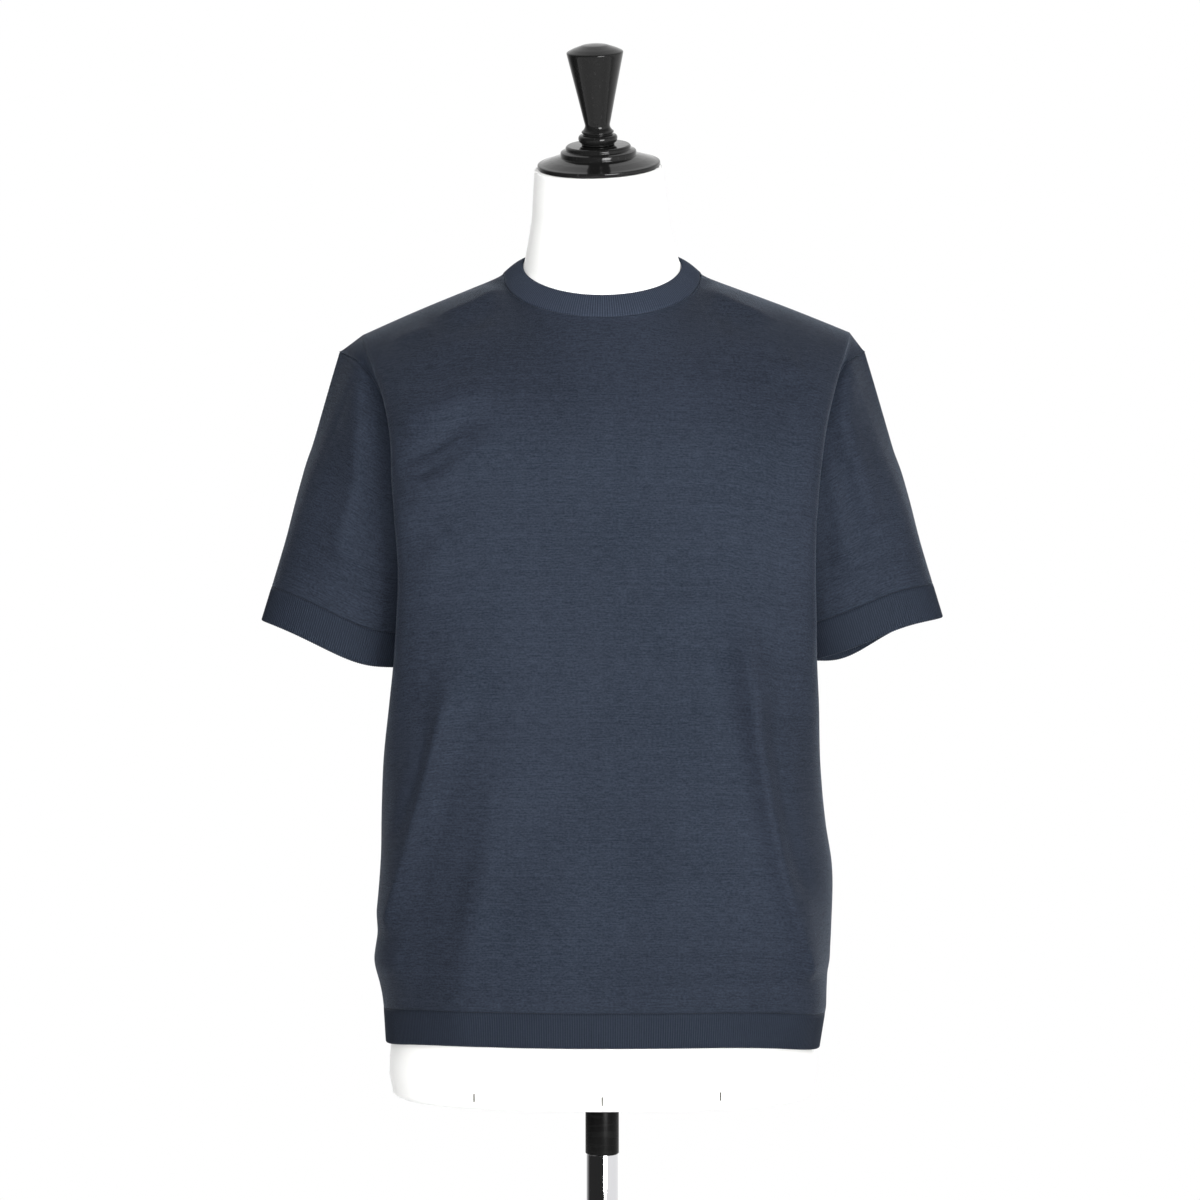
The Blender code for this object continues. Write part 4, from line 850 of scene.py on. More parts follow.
def close_sides(front, back):
    """Brings the panels' side edges together again where folds run over the side seams."""
    rows = len(front.points)
    up = 1 - np.clip((np.arange(rows) - BODY_ROWS) / SIDE_EASE, 0, 1)
    seam_row = np.minimum(np.arange(rows), BODY_ROWS)
    for edge, inward in ((0, 1), (-1, -1)):
        gap = (back.points[seam_row, edge] - front.points[seam_row, edge]) * up[:, None] / 2
        for step in range(SIDE_EASE):
            share = 1 - step / SIDE_EASE
            share = share * share * (3 - 2 * share)
            front.points[:, edge + inward * step] += gap * share
            back.points[:, edge + inward * step] -= gap * share
    front.measure_normals()
    back.measure_normals()


def raise_welts(half):
    """Lifts a panel's edges at the neck and the armholes, over the seam allowance under them."""
    rows, count = half.points.shape[:2]
    at_neck = 1 - np.clip((np.abs(columns()) - NECK_SHARE) / WELT_FADE, 0, 1)
    from_top = np.exp(-((np.arange(rows)[::-1] / WELT_REACH) ** 2))
    at_hole = np.clip((np.arange(rows) - BODY_ROWS) / WELT_RUN, 0, 1)
    column = np.arange(count)
    from_edge = np.exp(-((np.minimum(column, column[::-1]) / WELT_REACH) ** 2))
    share = np.maximum(from_top[:, None] * at_neck, at_hole[:, None] * from_edge)
    half.points = half.points + half.normals * (WELT * share)[..., None]


def share_normals(seams):
    """Gives the two edges of each seam one normal, so that their ends lie face to face."""
    for _ in range(NORMAL_ROUNDS):
        for (a, at, _), (b, bt, _) in seams:
            mean = unit(a.normals[at] + b.normals[bt])
            a.normals[at] = mean
            b.normals[bt] = mean


def part_seams(seams):
    """Moves the two edges of each seam apart by the seam gap."""
    moves = []
    for (a, at, a_next), (b, bt, b_next) in seams:
        line = a.points[at]
        toward = unit(a.points[a_next] - line) - unit(b.points[b_next] - b.points[bt])
        along = unit(np.gradient(line, axis=0))
        half = square_to(toward, along, a.normals[at]) * SEAM_GAP / 2
        moves.append((b, bt, -half.copy()))
        if b.ring and not a.ring:
            # A panel's corners are placed by the seams between the panels
            half[[0, -1]] = 0
        moves.append((a, at, half))
    for cloth, at, move in moves:
        cloth.points[at] = cloth.points[at] + move


def around(front, back):
    """Two half rings, both from left to right, as one ring."""
    return np.concatenate([front, back[:, -2:0:-1]], axis=1)


def cuff_ring(cuff, angle, up):
    """Points of a sleeve's end, at +X. Angle 0 is the outer tip and a quarter is the front."""
    (tip_x, tip_z), (inner_x, inner_z) = cuff.tip, cuff.inner
    out, ahead = np.cos(angle), np.sin(angle)
    reach = (out * out) ** (1 / CUFF_POWER) * np.sign(out)
    deep = (ahead * ahead) ** (1 / CUFF_POWER) * np.sign(ahead)
    share = (1 - reach) / 2
    sag = np.where(ahead > 0, cuff.front_sag, cuff.back_sag) * np.sin(math.pi * share * share)
    sag = (sag - cuff.arch * np.sin(2 * math.pi * share)) * np.abs(deep)
    lean = math.radians(SLEEVE_LEAN)
    return np.stack(
        [
            tip_x + (inner_x - tip_x) * share - up * math.sin(lean),
            cuff.middle - cuff.half_depth * deep,
            tip_z + (inner_z - tip_z) * share - sag + up * math.cos(lean),
        ],
        axis=-1,
    )


def sleeve_points(cuff, hole):
    """Grid from the armhole, a ring of points at +X, down to the cuff seam."""
    angle = turns_round(len(hole))
    end = cuff_ring(cuff, angle, CUFF_DEEP)
    lean = math.radians(SLEEVE_LEAN)
    down = np.array([math.sin(lean), 0, -math.cos(lean)])
    side = np.abs(np.sin(angle))[:, None]
    out, ahead, up = SLEEVE_LEAVE
    outward = np.stack([out + 0 * angle, -ahead * np.sin(angle), up + 0 * angle], axis=-1)
    leave = unit(down * (1 - side) + outward * side)
    chord = np.linalg.norm(end - hole, axis=-1, keepdims=True)
    leave = leave * chord * SLEEVE_PULL.rise
    arrive = down * chord * SLEEVE_PULL.arrival
    rows = np.linspace(0, 1, SLEEVE_ROWS + 1)
    return np.array([hermite(hole, leave, end, arrive, t + 0 * angle) for t in rows])


def mirrored(points):
    return points * np.array([-1, 1, 1])


def shirt_halves(jersey, strength):
    """The front and back panels, folded and closed at the side seams."""
    levels = np.linspace(HEM_SEAM, ARMHOLE[0].z, BODY_ROWS + 1)
    spans = len(ARMHOLE_LEVELS) - 1
    places = np.linspace(0, spans, spans * ARMHOLE_STEPS + 1)
    hole_levels = curve(np.arange(spans + 1), ARMHOLE_LEVELS, places)
    halves = []
    for side, table, lift, slopes, outward, folds, creases in (
        ("front", FRONT, FRONT_LIFT, FRONT_SLOPES, 1, FRONT_FOLDS, FRONT_CREASES),
        ("back", BACK, BACK_LIFT, BACK_SLOPES, -1, BACK_FOLDS, BACK_CREASES),
    ):
        facing = FACING[side]
        points = panel(table, ARMHOLE, lift, slopes, facing, levels, hole_levels)
        half = Cloth(f"shirt_{side}", points, jersey, outward)
        half.raise_folds(folds, facing)
        half.raise_folds(creases, facing, strength)
        halves.append(half)
    close_sides(*halves)
    return halves


def rib_collar(rib, shares):
    """The collar, from the neck seam to its free edge, slightly crowned."""
    angles = neck_angles()
    low, high = neck_ring(NECK_SEAM, angles), neck_ring(NECK_EDGE, angles)
    crown = np.array([0, 0, 4 * COLLAR_CROWN])
    rows = np.array([low + (high - low) * t + crown * t * (1 - t) for t in shares])
    return Cloth("neck_rib", rows, rib, 1, ring=True)


def rib_hem(front, back, rib, shares):
    """The hem band, which takes up the panels' folds less and less towards its free edge."""
    levels = HEM_EDGE + (HEM_SEAM - HEM_EDGE) * shares
    ahead = level_rows(FRONT, FACING["front"], FRONT_LIFT, levels)
    behind = level_rows(BACK, FACING["back"], BACK_LIFT, levels)
    ring = around(np.array(ahead), np.array(behind))
    slack = around(front.points[:1], back.points[:1]) - ring[-1:]
    ring = ring + slack * (HEM_SLACK + (1 - HEM_SLACK) * shares)[:, None, None]
    return Cloth("hem_band", ring, rib, 1, ring=True)


def sewn_sleeve(name, front, back, jersey, rib, strength, shares):
    """A sleeve, its cuff band and the seams that join them to each other and to the panels."""
    sign, cuff, folds, creases, behind_folds = SLEEVES[name]
    turned_over = mirrored if sign == LEFT else np.asarray
    hole = slice(BODY_ROWS, None)
    edge = 0 if sign == LEFT else -1
    ahead, behind = front.points[hole, edge][::-1], back.points[hole, edge]
    rim = np.concatenate([ahead, behind[1:-1]])
    tube = turned_over(sleeve_points(cuff, turned_over(rim)))
    sleeve = Cloth(f"sleeve_{name}", tube, jersey, sign, ring=True)
    sleeve.raise_folds(folds, FACING["front"])
    sleeve.raise_folds(creases, FACING["front"], strength)
    sleeve.raise_folds(behind_folds, FACING["back"], strength)
    sleeve.points[0] = tube[0]
    angles = turns_round(len(rim))
    band = turned_over(np.array([cuff_ring(cuff, angles, CUFF_DEEP * (1 - t)) for t in shares]))
    slack = sleeve.points[-1:] - band[:1]
    band = band + slack * (1 - (1 - HEM_SLACK) * shares)[:, None, None]
    band = Cloth(f"cuff_band_{name}", band, rib, sign, ring=True)
    if sign == LEFT:
        front_edge, back_edge = front.left(hole), back.left(hole)
    else:
        front_edge, back_edge = front.right(hole), back.right(hole)
    underarm = len(ahead) - 1
    up_the_back = np.concatenate([np.arange(underarm, len(rim)), [0]])
    seams = [
        (front_edge, sleeve.bottom(np.arange(underarm, -1, -1))),
        (back_edge, sleeve.bottom(up_the_back)),
        (sleeve.top(), band.bottom()),
    ]
    return [sleeve, band], seams


@lru_cache(maxsize=2)
def sewn_shirt(jersey, rib, strength):
    """The eight pieces of the shirt by name, and the pairs of edges that are sewn."""
    shares = np.linspace(0, 1, BAND_ROWS + 1)
    front, back = shirt_halves(jersey, strength)
    collar = rib_collar(rib, shares)
    hem = rib_hem(front, back, rib, shares)

    side = slice(0, BODY_ROWS + 1)
    left_shoulder, right_shoulder = slice(0, BESIDE_NECK + 1), slice(-BESIDE_NECK - 1, None)
    count = len(columns())
    collar_back = np.concatenate([[0], np.arange(4 * NECK_COLUMNS - 1, 2 * NECK_COLUMNS - 1, -1)])
    hem_back = np.concatenate([[0], np.arange(2 * count - 3, count - 2, -1)])
    seams = [
        (front.left(side), back.left(side)),
        (front.right(side), back.right(side)),
        (front.top(left_shoulder), back.top(left_shoulder)),
        (front.top(right_shoulder), back.top(right_shoulder)),
        (front.top(NECK), collar.bottom(slice(0, 2 * NECK_COLUMNS + 1))),
        (front.bottom(), hem.top(slice(0, count))),
        (back.top(NECK), collar.bottom(collar_back)),
        (back.bottom(), hem.top(hem_back)),
    ]
    pieces = [front, back, collar, hem]
    for name in SLEEVES:
        made, joins = sewn_sleeve(name, front, back, jersey, rib, strength, shares)
        pieces += made
        seams += joins
    raise_welts(front)
    raise_welts(back)
    share_normals(seams)
    part_seams(seams)
    pieces = {piece.name: piece for piece in pieces}
    for name, row in SLEEVES.items():
        armhole = pieces[f"sleeve_{name}"].points[0]
        armhole[len(armhole) // 2, 0] += UNDERARM_EASE * row.sign
    return pieces, seams


class Shape:
    """Points, faces and cut places of a mesh, gathered patch by patch."""

    def __init__(self):
        self.points = []
        self.faces = []
        self.places = []
        self.total = 0

    def add(self, grid):
        """Adds a grid of points and returns their numbers in the same layout."""
        count = grid.size // 3
        index = np.arange(self.total, self.total + count).reshape(grid.shape[:-1])
        self.points.append(grid.reshape(-1, 3))
        self.total += count
        return index

    def skin(self, index, places, wrap=None):
        """Adds the quads between the rows and columns of a grid of point numbers."""
        if wrap is not None:
            index = np.concatenate([index, index[:, :1]], axis=1)
            places = np.concatenate([places, places[:, :1] + wrap], axis=1)
        corners = (
            (slice(None, -1), slice(None, -1)), (slice(None, -1), slice(1, None)),
            (slice(1, None), slice(1, None)), (slice(1, None), slice(None, -1)),
        )
        self.faces.append(np.stack([index[corner].ravel() for corner in corners], axis=-1))
        self.places.append(np.stack([places[corner].reshape(-1, 2) for corner in corners], axis=1))

    def make(self, name, caps=(), merge=0.0):
        """An object of this shape. Caps are loops to close."""
        faces = np.concatenate(self.faces)
        places = np.concatenate(self.places).reshape(-1)
        mesh = bpy.data.meshes.new(name)
        loops = faces.tolist() + [list(map(int, cap)) for cap in caps]
        mesh.from_pydata(np.concatenate(self.points).tolist(), [], loops)
        layer = mesh.uv_layers.new(name="cut")
        spare = 2 * sum(len(cap) for cap in caps)
        layer.data.foreach_set("uv", np.concatenate([places, np.zeros(spare)]))
        return solid(name, mesh, merge)


def placed(name, data):
    made = bpy.data.objects.new(name, data)
    bpy.context.scene.collection.objects.link(made)
    return made


def solid(name, mesh, merge=0.0):
    """A smooth object of a closed mesh, with its faces turned outwards."""
    shape = bmesh.new()
    shape.from_mesh(mesh)
    if merge:
        bmesh.ops.remove_doubles(shape, verts=shape.verts, dist=merge)
    bmesh.ops.recalc_face_normals(shape, faces=shape.faces)
    shape.to_mesh(mesh)
    shape.free()
    mesh.shade_smooth()
    return placed(name, mesh)


def wall(cloth, softness):
    """The closed wall of a sheet of cloth, with rounded edges. softness is one for each edge."""
    shape = Shape()
    places, wrap = cloth.unrolled()
    outer = cloth.points.copy()
    inner = cloth.points - cloth.normals * cloth.thickness
    edges = cloth.edges()
    for (at, out), soft in zip(edges, softness):
        outer[at] = outer[at] - out * soft
        inner[at] = inner[at] - out * soft
    outside, inside = shape.add(outer), shape.add(inner)
    shape.skin(outside, places, wrap if cloth.ring else None)
    shape.skin(inside[:, ::-1], places[:, ::-1], -wrap if cloth.ring else None)
    for (at, out), soft in zip(edges, softness):
        centre, half = (outer[at] + inner[at]) / 2, (outer[at] - inner[at]) / 2
        strips = [outside[at]]
        for turn in RIM_TURNS:
            strips.append(shape.add(centre + half * math.cos(turn) + out * soft * math.sin(turn)))
        strips.append(inside[at])
        rim = np.broadcast_to(places[at], (len(strips), *places[at].shape))
        shape.skin(np.array(strips), rim, wrap)
    return shape, outside


class Value:
    """A socket of a node tree. Sums on it add nodes."""

    def __init__(self, tree, socket):
        self.tree = tree
        self.socket = socket

    def output(self, name):
        return Value(self.tree, self.socket.node.outputs[name])

    def sum(self, operation, *terms):
        return self.tree.add("ShaderNodeMath", {"operation": operation}, dict(enumerate(terms)))

    def __add__(self, other):
        return self.sum("ADD", self, other)

    __radd__ = __add__

    def __sub__(self, other):
        return self.sum("SUBTRACT", self, other)

    def __rsub__(self, other):
        return self.sum("SUBTRACT", other, self)

    def __mul__(self, other):
        return self.sum("MULTIPLY", self, other)

    __rmul__ = __mul__

    def __truediv__(self, other):
        return self.sum("DIVIDE", self, other)

    def __rtruediv__(self, other):
        return self.sum("DIVIDE", other, self)

    def root(self):
        return self.sum("SQRT", self)

    def cosine(self):
        return self.sum("COSINE", self)

    def sine(self):
        return self.sum("SINE", self)

    def fraction(self):
        return self.sum("FRACT", self)

    def size(self):
        return self.sum("ABSOLUTE", self)

    def below(self, limit):
        return self.sum("LESS_THAN", self, limit)

    def between(self, low, high):
        """0 at low, 1 at high, and smooth between them."""
        settings = {"interpolation_type": "SMOOTHSTEP"}
        return self.tree.add("ShaderNodeMapRange", settings, {"Value": self, 1: low, 2: high})


class Tree:
    """A node tree that is written as calls."""

    def __init__(self, graph):
        self.graph = graph

    def add(self, kind, settings=None, sockets=None, output=0):
        """Adds a node with its settings, and sets or links its sockets."""
        node = self.graph.nodes.new(kind)
        for name, value in (settings or {}).items():
            setattr(node, name, value)
        for name, value in (sockets or {}).items():
            if isinstance(value, Value):
                self.graph.links.new(value.socket, node.inputs[name])
            else:
                node.inputs[name].default_value = value
        return Value(self, node.outputs[output]) if node.outputs else None

    def vector(self, x, y, z=0.0):
        return self.add("ShaderNodeCombineXYZ", None, {0: x, 1: y, 2: z})

    def show(self, shader):
        """Links a shader to the tree's output."""
        end = next(node for node in self.graph.nodes if node.type.startswith("OUTPUT"))
        self.graph.links.new(shader.socket, end.inputs["Surface"])

    def parts(self, vector):
        """The X, Y and Z of a vector."""
        parts = self.add("ShaderNodeSeparateXYZ", None, {0: vector})
        return parts, parts.output("Y"), parts.output("Z")

    def noise(self, vector, scale, detail=2.0, roughness=0.5):
        sockets = {"Vector": vector, "Scale": scale, "Detail": detail, "Roughness": roughness}
        return self.add("ShaderNodeTexNoise", None, sockets)

    def blend(self, factor, first, second):
        """A colour between two, by a factor from 0 to 1."""
        return self.add("ShaderNodeMix", {"data_type": "RGBA"}, {0: factor, 6: first, 7: second}, 2)

    def relief(self, height, distance, strength=1.0):
        sockets = {"Height": height, "Distance": distance, "Strength": strength}
        return self.add("ShaderNodeBump", None, sockets)


class Finish(Tree):
    """A material, whose surface is one principled shader."""

    def __init__(self, name, color):
        self.color = tuple(color)
        self.material = bpy.data.materials.new(name)
        self.material.use_nodes = True
        self.material.diffuse_color = (*color, 1.0)
        super().__init__(self.material.node_tree)
        self.surface = self.graph.nodes["Principled BSDF"]

    def set(self, **sockets):
        """Sets or links the sockets of the surface, named with _ for a space."""
        for name, value in sockets.items():
            socket = self.surface.inputs[name.replace("_", " ").title().replace("Ior", "IOR")]
            if isinstance(value, Value):
                self.graph.links.new(value.socket, socket)
            else:
                socket.default_value = value

    def cut(self):
        """Place across and up the cut, in metres."""
        across, up, _ = self.parts(self.add("ShaderNodeUVMap", {"uv_map": "cut"}))
        return across, up

    def place(self):
        """Place in the piece's own frame."""
        return self.add("ShaderNodeTexCoord").output("Object")

    def shade(self, lightness):
        """The finish's own colour, times its lightness."""
        return (*(channel * lightness for channel in self.color), 1.0)

    def tones(self, factor, dark, light):
        """A colour between two shades of the finish's own."""
        return self.blend(factor, self.shade(dark), self.shade(light))


def knitted(across, up, wale, course):
    """Height of a plain knit: two slanting legs of yarn to every wale."""
    leg = ((across / wale).fraction() * 2 - 1).size()
    slant = (up / course - leg * LEG_SLANT) * (2 * math.pi)
    return (slant.cosine() * 0.5 + 0.5) * ((leg * (2 * math.pi)).cosine() * -0.5 + 0.5)


def jersey_finish(settings):
    """Fine plain jersey, with the faint level streaks of an uneven yarn."""
    finish = Finish("navy jersey", settings.navy)
    across, up = finish.cut()
    streaks = finish.noise(finish.vector(across * 90, up * 850), 1.0, 3.0, 0.6)
    bars = finish.noise(finish.vector(across * 4, up * 300, 7.0), 1.0, 1.0)
    flecks = finish.noise(finish.vector(across * 420, up * 640, 3.0), 1.0, 3.0, 0.7)
    clouds = finish.noise(finish.vector(across, up, 5.0), 9.0, 2.0)
    tone = streaks * 0.34 + bars * 0.08 + flecks * 0.48 + clouds * 0.10
    tone = tone.between(0.34, 0.66)
    color = finish.tones(tone, 0.50, 1.50)
    height = knitted(across, up, settings.wale, settings.course)
    normal = finish.relief(height * 0.8 + flecks * 0.5 + streaks * 0.4, 0.00022, 0.55)
    finish.set(base_color=color, roughness=0.60 - tone * 0.08, normal=normal, **YARN_GLOSS)
    return finish.material


def rib_finish(settings, name, lightness):
    """One by one rib: raised wales, with painted shade on the rows of purl between them."""
    finish = Finish(name, [channel * lightness for channel in settings.navy_rib])
    across, up = finish.cut()
    crest = (across / settings.rib_pitch * (2 * math.pi)).cosine() * 0.5 + 0.5
    stitches = (up / settings.course * (2 * math.pi)).cosine() * 0.5 + 0.5
    flecks = finish.noise(finish.vector(across * 320, up * 700, 2.0), 1.0, 2.0, 0.6)
    # The colour darkens away from each rib's crest: painted shade in the valleys between the ribs, mixed
    # with the yarn's random flecks.
    tone = crest * 0.55 + flecks * 0.45
    color = finish.tones(tone, 0.30, 1.75)
    normal = finish.relief(stitches * 0.5 * crest + flecks * 0.4, 0.0002, 0.5)
    finish.set(base_color=color, roughness=0.62 - crest * 0.06, normal=normal, **YARN_GLOSS)
    return finish.material


def thread_finish(settings):
    """Sewing yarn, twisted from two plies."""
    finish = Finish("navy thread", settings.navy_rib)
    twist = finish.noise(finish.place(), 2600.0, 2.0)
    color = finish.tones(twist, 0.20, 0.50)
    finish.set(base_color=color, roughness=0.85, normal=finish.relief(twist, 0.0001, 0.6))
    return finish.material


def cover_finish(settings):
    """White stretch cover of the form, with a seam down the middle of front and back."""
    finish = Finish("white cover", settings.cover)
    point = finish.place()
    x, _, z = finish.parts(point)
    seamed = z.below(COVER_SEAM_TOP)
    seam = x.size().below(COVER_SEAM) * seamed
    groove = (1 - x.size().between(0.0, COVER_GROOVE)) * seamed
    weave = (x * 5200).sine() * (z * 6400).sine()
    fuzz = finish.noise(point, 900.0, 2.0, 0.6)
    clouds = finish.noise(point, 14.0, 2.0)
    tone = clouds * 0.6 + fuzz * 0.4
    color = finish.tones(tone.between(0.25, 0.75), 0.965, 1.0)
    color = finish.blend(seam * 0.22, color, finish.shade(0.80))
    height = weave * 0.25 + fuzz * 0.5 - groove * 2.0
    finish.set(
        base_color=color,
        roughness=0.78 + fuzz * 0.08,
        normal=finish.relief(height, 0.00025, 0.5),
        sheen_weight=0.35,
        sheen_roughness=0.5,
        specular_ior_level=0.25,
    )
    return finish.material


def mark_finish(settings):
    """Grey thread of the marks on the form's cover."""
    finish = Finish("grey mark thread", settings.marks)
    x, _, z = finish.parts(finish.place())
    turns = (z * 9000 + x * 4000).sine() * 0.5 + 0.5
    color = finish.tones(turns, 0.6, 1.2)
    finish.set(base_color=color, roughness=0.7, normal=finish.relief(turns, 0.0001, 0.5))
    return finish.material


def lacquer_finish(settings):
    """Gloss black lacquer over turned wood: slightly wavy, with a few fine scratches."""
    finish = Finish("black lacquer", settings.lacquer)
    point = finish.place()
    x, y, z = finish.parts(point)
    waves = finish.noise(point, 110.0, 2.0)
    rings = finish.noise(finish.vector(x * 60, y * 60, z * 460), 1.0, 1.0)
    grain = finish.noise(finish.vector(x * 500, y * 500, z * 120), 1.0, 3.0)
    wear = grain.between(0.60, 0.75)
    finish.set(
        base_color=finish.tones(wear, 1.0, 2.2),
        roughness=0.10 + wear * 0.12,
        normal=finish.relief(waves * 0.7 + rings * 0.4, 0.0005, 0.35),
        specular_ior_level=0.20,
        coat_weight=0.12,
        coat_roughness=0.06,
    )
    return finish.material


def plastic_finish(settings):
    """Satin black plastic of the socket, with a fine moulded grain."""
    finish = Finish("black plastic", settings.plastic)
    point = finish.place()
    x, y, z = finish.parts(point)
    grain = finish.noise(point, 1800.0, 2.0)
    rubbed = finish.noise(finish.vector(x * 40, y * 40, z * 260), 1.0, 2.0)
    finish.set(
        base_color=finish.tones(rubbed.between(0.5, 0.8), 1.0, 1.7),
        roughness=0.22 + rubbed * 0.10,
        specular_ior_level=0.08,
        normal=finish.relief(grain, 0.00008, 0.4),
    )
    return finish.material


def chrome_finish(settings):
    """Polished chromed tube, with faint marks along its length."""
    finish = Finish("chrome", settings.chrome)
    x, y, z = finish.parts(finish.place())
    drawn = finish.noise(finish.vector(x * 900, y * 900, z * 6), 1.0, 2.0)
    smears = finish.noise(finish.vector(x * 30, y * 30, z * 12), 1.0, 3.0)
    finish.set(
        base_color=finish.tones(smears, 0.92, 1.0),
        metallic=1.0,
        roughness=0.03 + smears * 0.05,
        normal=finish.relief(drawn, 0.00001, 0.1),
    )
    return finish.material


def paint_finish(settings):
    """Satin black powder coat of the base, with its fine pebbled skin."""
    finish = Finish("black powder coat", settings.paint)
    point = finish.place()
    pebbles = finish.noise(point, 700.0, 2.0, 0.55)
    dust = finish.noise(point, 24.0, 3.0)
    finish.set(
        base_color=finish.tones(dust.between(0.45, 0.8), 1.0, 1.9),
        roughness=0.42 + pebbles * 0.14,
        normal=finish.relief(pebbles, 0.00025, 0.5),
    )
    return finish.material


def floor_finish(settings):
    """Pale floor that runs out into the white surround."""
    finish = Finish("pale floor", settings.floor)
    point = finish.place()
    x, y, _ = finish.parts(point)
    away = (x * x + y * y).root()
    mottle = finish.noise(point, 3.0, 3.0)
    color = finish.tones(mottle, 0.985, 1.0)
    finish.set(base_color=color, roughness=0.75, specular_ior_level=0.1)
    glow = finish.add("ShaderNodeEmission", None, {"Color": WHITE, "Strength": 1.0})
    base = Value(finish, finish.surface.outputs[0])
    share = away.between(*FLOOR_FADE)
    finish.show(finish.add("ShaderNodeMixShader", None, {0: share, 1: base, 2: glow}))
    return finish.material


def jersey_of(settings):
    """The shirt's one jersey, which the panels and the sleeves share."""
    return bpy.data.materials.get("navy jersey") or jersey_finish(settings)


def finished(made, material, slot, *nodes):
    """Gives a piece its finish, attaches it to the body and hides the solids it stands for. Its slot is
    not used.
    """
    made.data.materials.clear()
    made.data.materials.append(material)
    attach(made, BODY)
    if nodes:
        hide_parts(*nodes)


def shirt_of(settings):
    return sewn_shirt(settings.jersey, settings.rib, settings.creases)


def finished_cloth(made, material, slot, node):
    """Finishes a piece of cloth."""
    finished(made, material, slot, node)


def jersey_piece(settings, node, name, softness):
    pieces, _ = shirt_of(settings)
    shape, _ = wall(pieces[node], softness)
    finished_cloth(shape.make(name), jersey_of(settings), "jersey", node)


def node_group(name, sockets):
    """A geometry node tree with named inputs, and its input and output nodes."""
    group = bpy.data.node_groups.new(name, "GeometryNodeTree")
    group.interface.new_socket("Geometry", in_out="INPUT", socket_type="NodeSocketGeometry")
    found = {}
    for label, kind in sockets:
        found[label] = group.interface.new_socket(label, in_out="INPUT", socket_type=kind)
    group.interface.new_socket("Geometry", in_out="OUTPUT", socket_type="NodeSocketGeometry")
    tree = Tree(group)
    start = tree.add("NodeGroupInput")
    return group, tree, start, {label: socket.identifier for label, socket in found.items()}


def finish_group(tree, start, geometry):
    """Ends a tree in real geometry with its material."""
    real = tree.add("GeometryNodeRealizeInstances", None, {"Geometry": geometry})
    painted = tree.add(
        "GeometryNodeSetMaterial", None, {"Geometry": real, "Material": start.output("Material")}
    )
    tree.add("NodeGroupOutput", None, {"Geometry": painted})


def rib_group():
    """Raises and lowers a band's wall, rib by rib."""
    group, tree, start, names = node_group(
        "ribs", (("Rib depth", "NodeSocketFloat"), ("Material", "NodeSocketMaterial"))
    )
    phase = tree.add("GeometryNodeInputNamedAttribute", {"data_type": "FLOAT"}, {"Name": "rib_phase"})
    share = tree.add("GeometryNodeInputNamedAttribute", {"data_type": "FLOAT"}, {"Name": "rib_share"})
    height = (phase * (2 * math.pi)).cosine() * share * start.output("Rib depth") * 0.5
    normal = tree.add("GeometryNodeInputNormal")
    offset = tree.add(
        "ShaderNodeVectorMath", {"operation": "SCALE"}, {"Vector": normal, "Scale": height}
    )
    moved = tree.add("GeometryNodeSetPosition", None, {"Geometry": start, "Offset": offset})
    finish_group(tree, start, moved)
    return group, names


def stitch_group():
    """Sets a short stitch of yarn at every step along a seam."""
    group, tree, start, names = node_group(
        "stitches",
        (
            ("Stitch pitch", "NodeSocketFloat"),
            ("Stitch length", "NodeSocketFloat"),
            ("Stitch width", "NodeSocketFloat"),
            ("Material", "NodeSocketMaterial"),
        ),
    )
    points = tree.add(
        "GeometryNodeCurveToPoints", {"mode": "LENGTH"},
        {"Curve": start, "Length": start.output("Stitch pitch")},
    )
    ball = {"Segments": STITCH_SEGMENTS, "Rings": STITCH_RINGS, "Radius": 0.5}
    bead = tree.add("GeometryNodeMeshUVSphere", None, ball)
    width = start.output("Stitch width")
    scale = tree.vector(width, width, start.output("Stitch length"))
    beads = tree.add(
        "GeometryNodeInstanceOnPoints", None,
        {"Points": points, "Instance": bead, "Rotation": points.output("Rotation"), "Scale": scale},
    )
    finish_group(tree, start, beads)
    return group, names


def grown(base, group, names, values):
    """The plain mesh that a geometry node tree makes of an object, which is then removed."""
    modifier = base.modifiers.new(group.name, "NODES")
    modifier.node_group = group
    for label, value in values.items():
        modifier[names[label]] = value
    view = bpy.context.evaluated_depsgraph_get()
    mesh = bpy.data.meshes.new_from_object(base.evaluated_get(view), depsgraph=view)
    name = base.name
    base.modifiers.remove(modifier)
    bpy.data.objects.remove(base, do_unlink=True)
    mesh.name = name
    return solid(name, mesh)


def rounded(profile, reach):
    """A profile whose corners are rounded over at most reach on each side."""
    corners = np.array(profile, float)
    made = [corners[:1]]
    for before, corner, after in zip(corners, corners[1:], corners[2:]):
        back, on = before - corner, after - corner
        a = corner + back * min(CORNER_SHARE, reach / np.linalg.norm(back))
        b = corner + on * min(CORNER_SHARE, reach / np.linalg.norm(on))
        t = np.linspace(0, 1, CORNER_STEPS + 1)[:, None]
        made.append(a * (1 - t) ** 2 + 2 * corner * t * (1 - t) + b * t * t)
    made.append(corners[-1:])
    return np.concatenate(made)


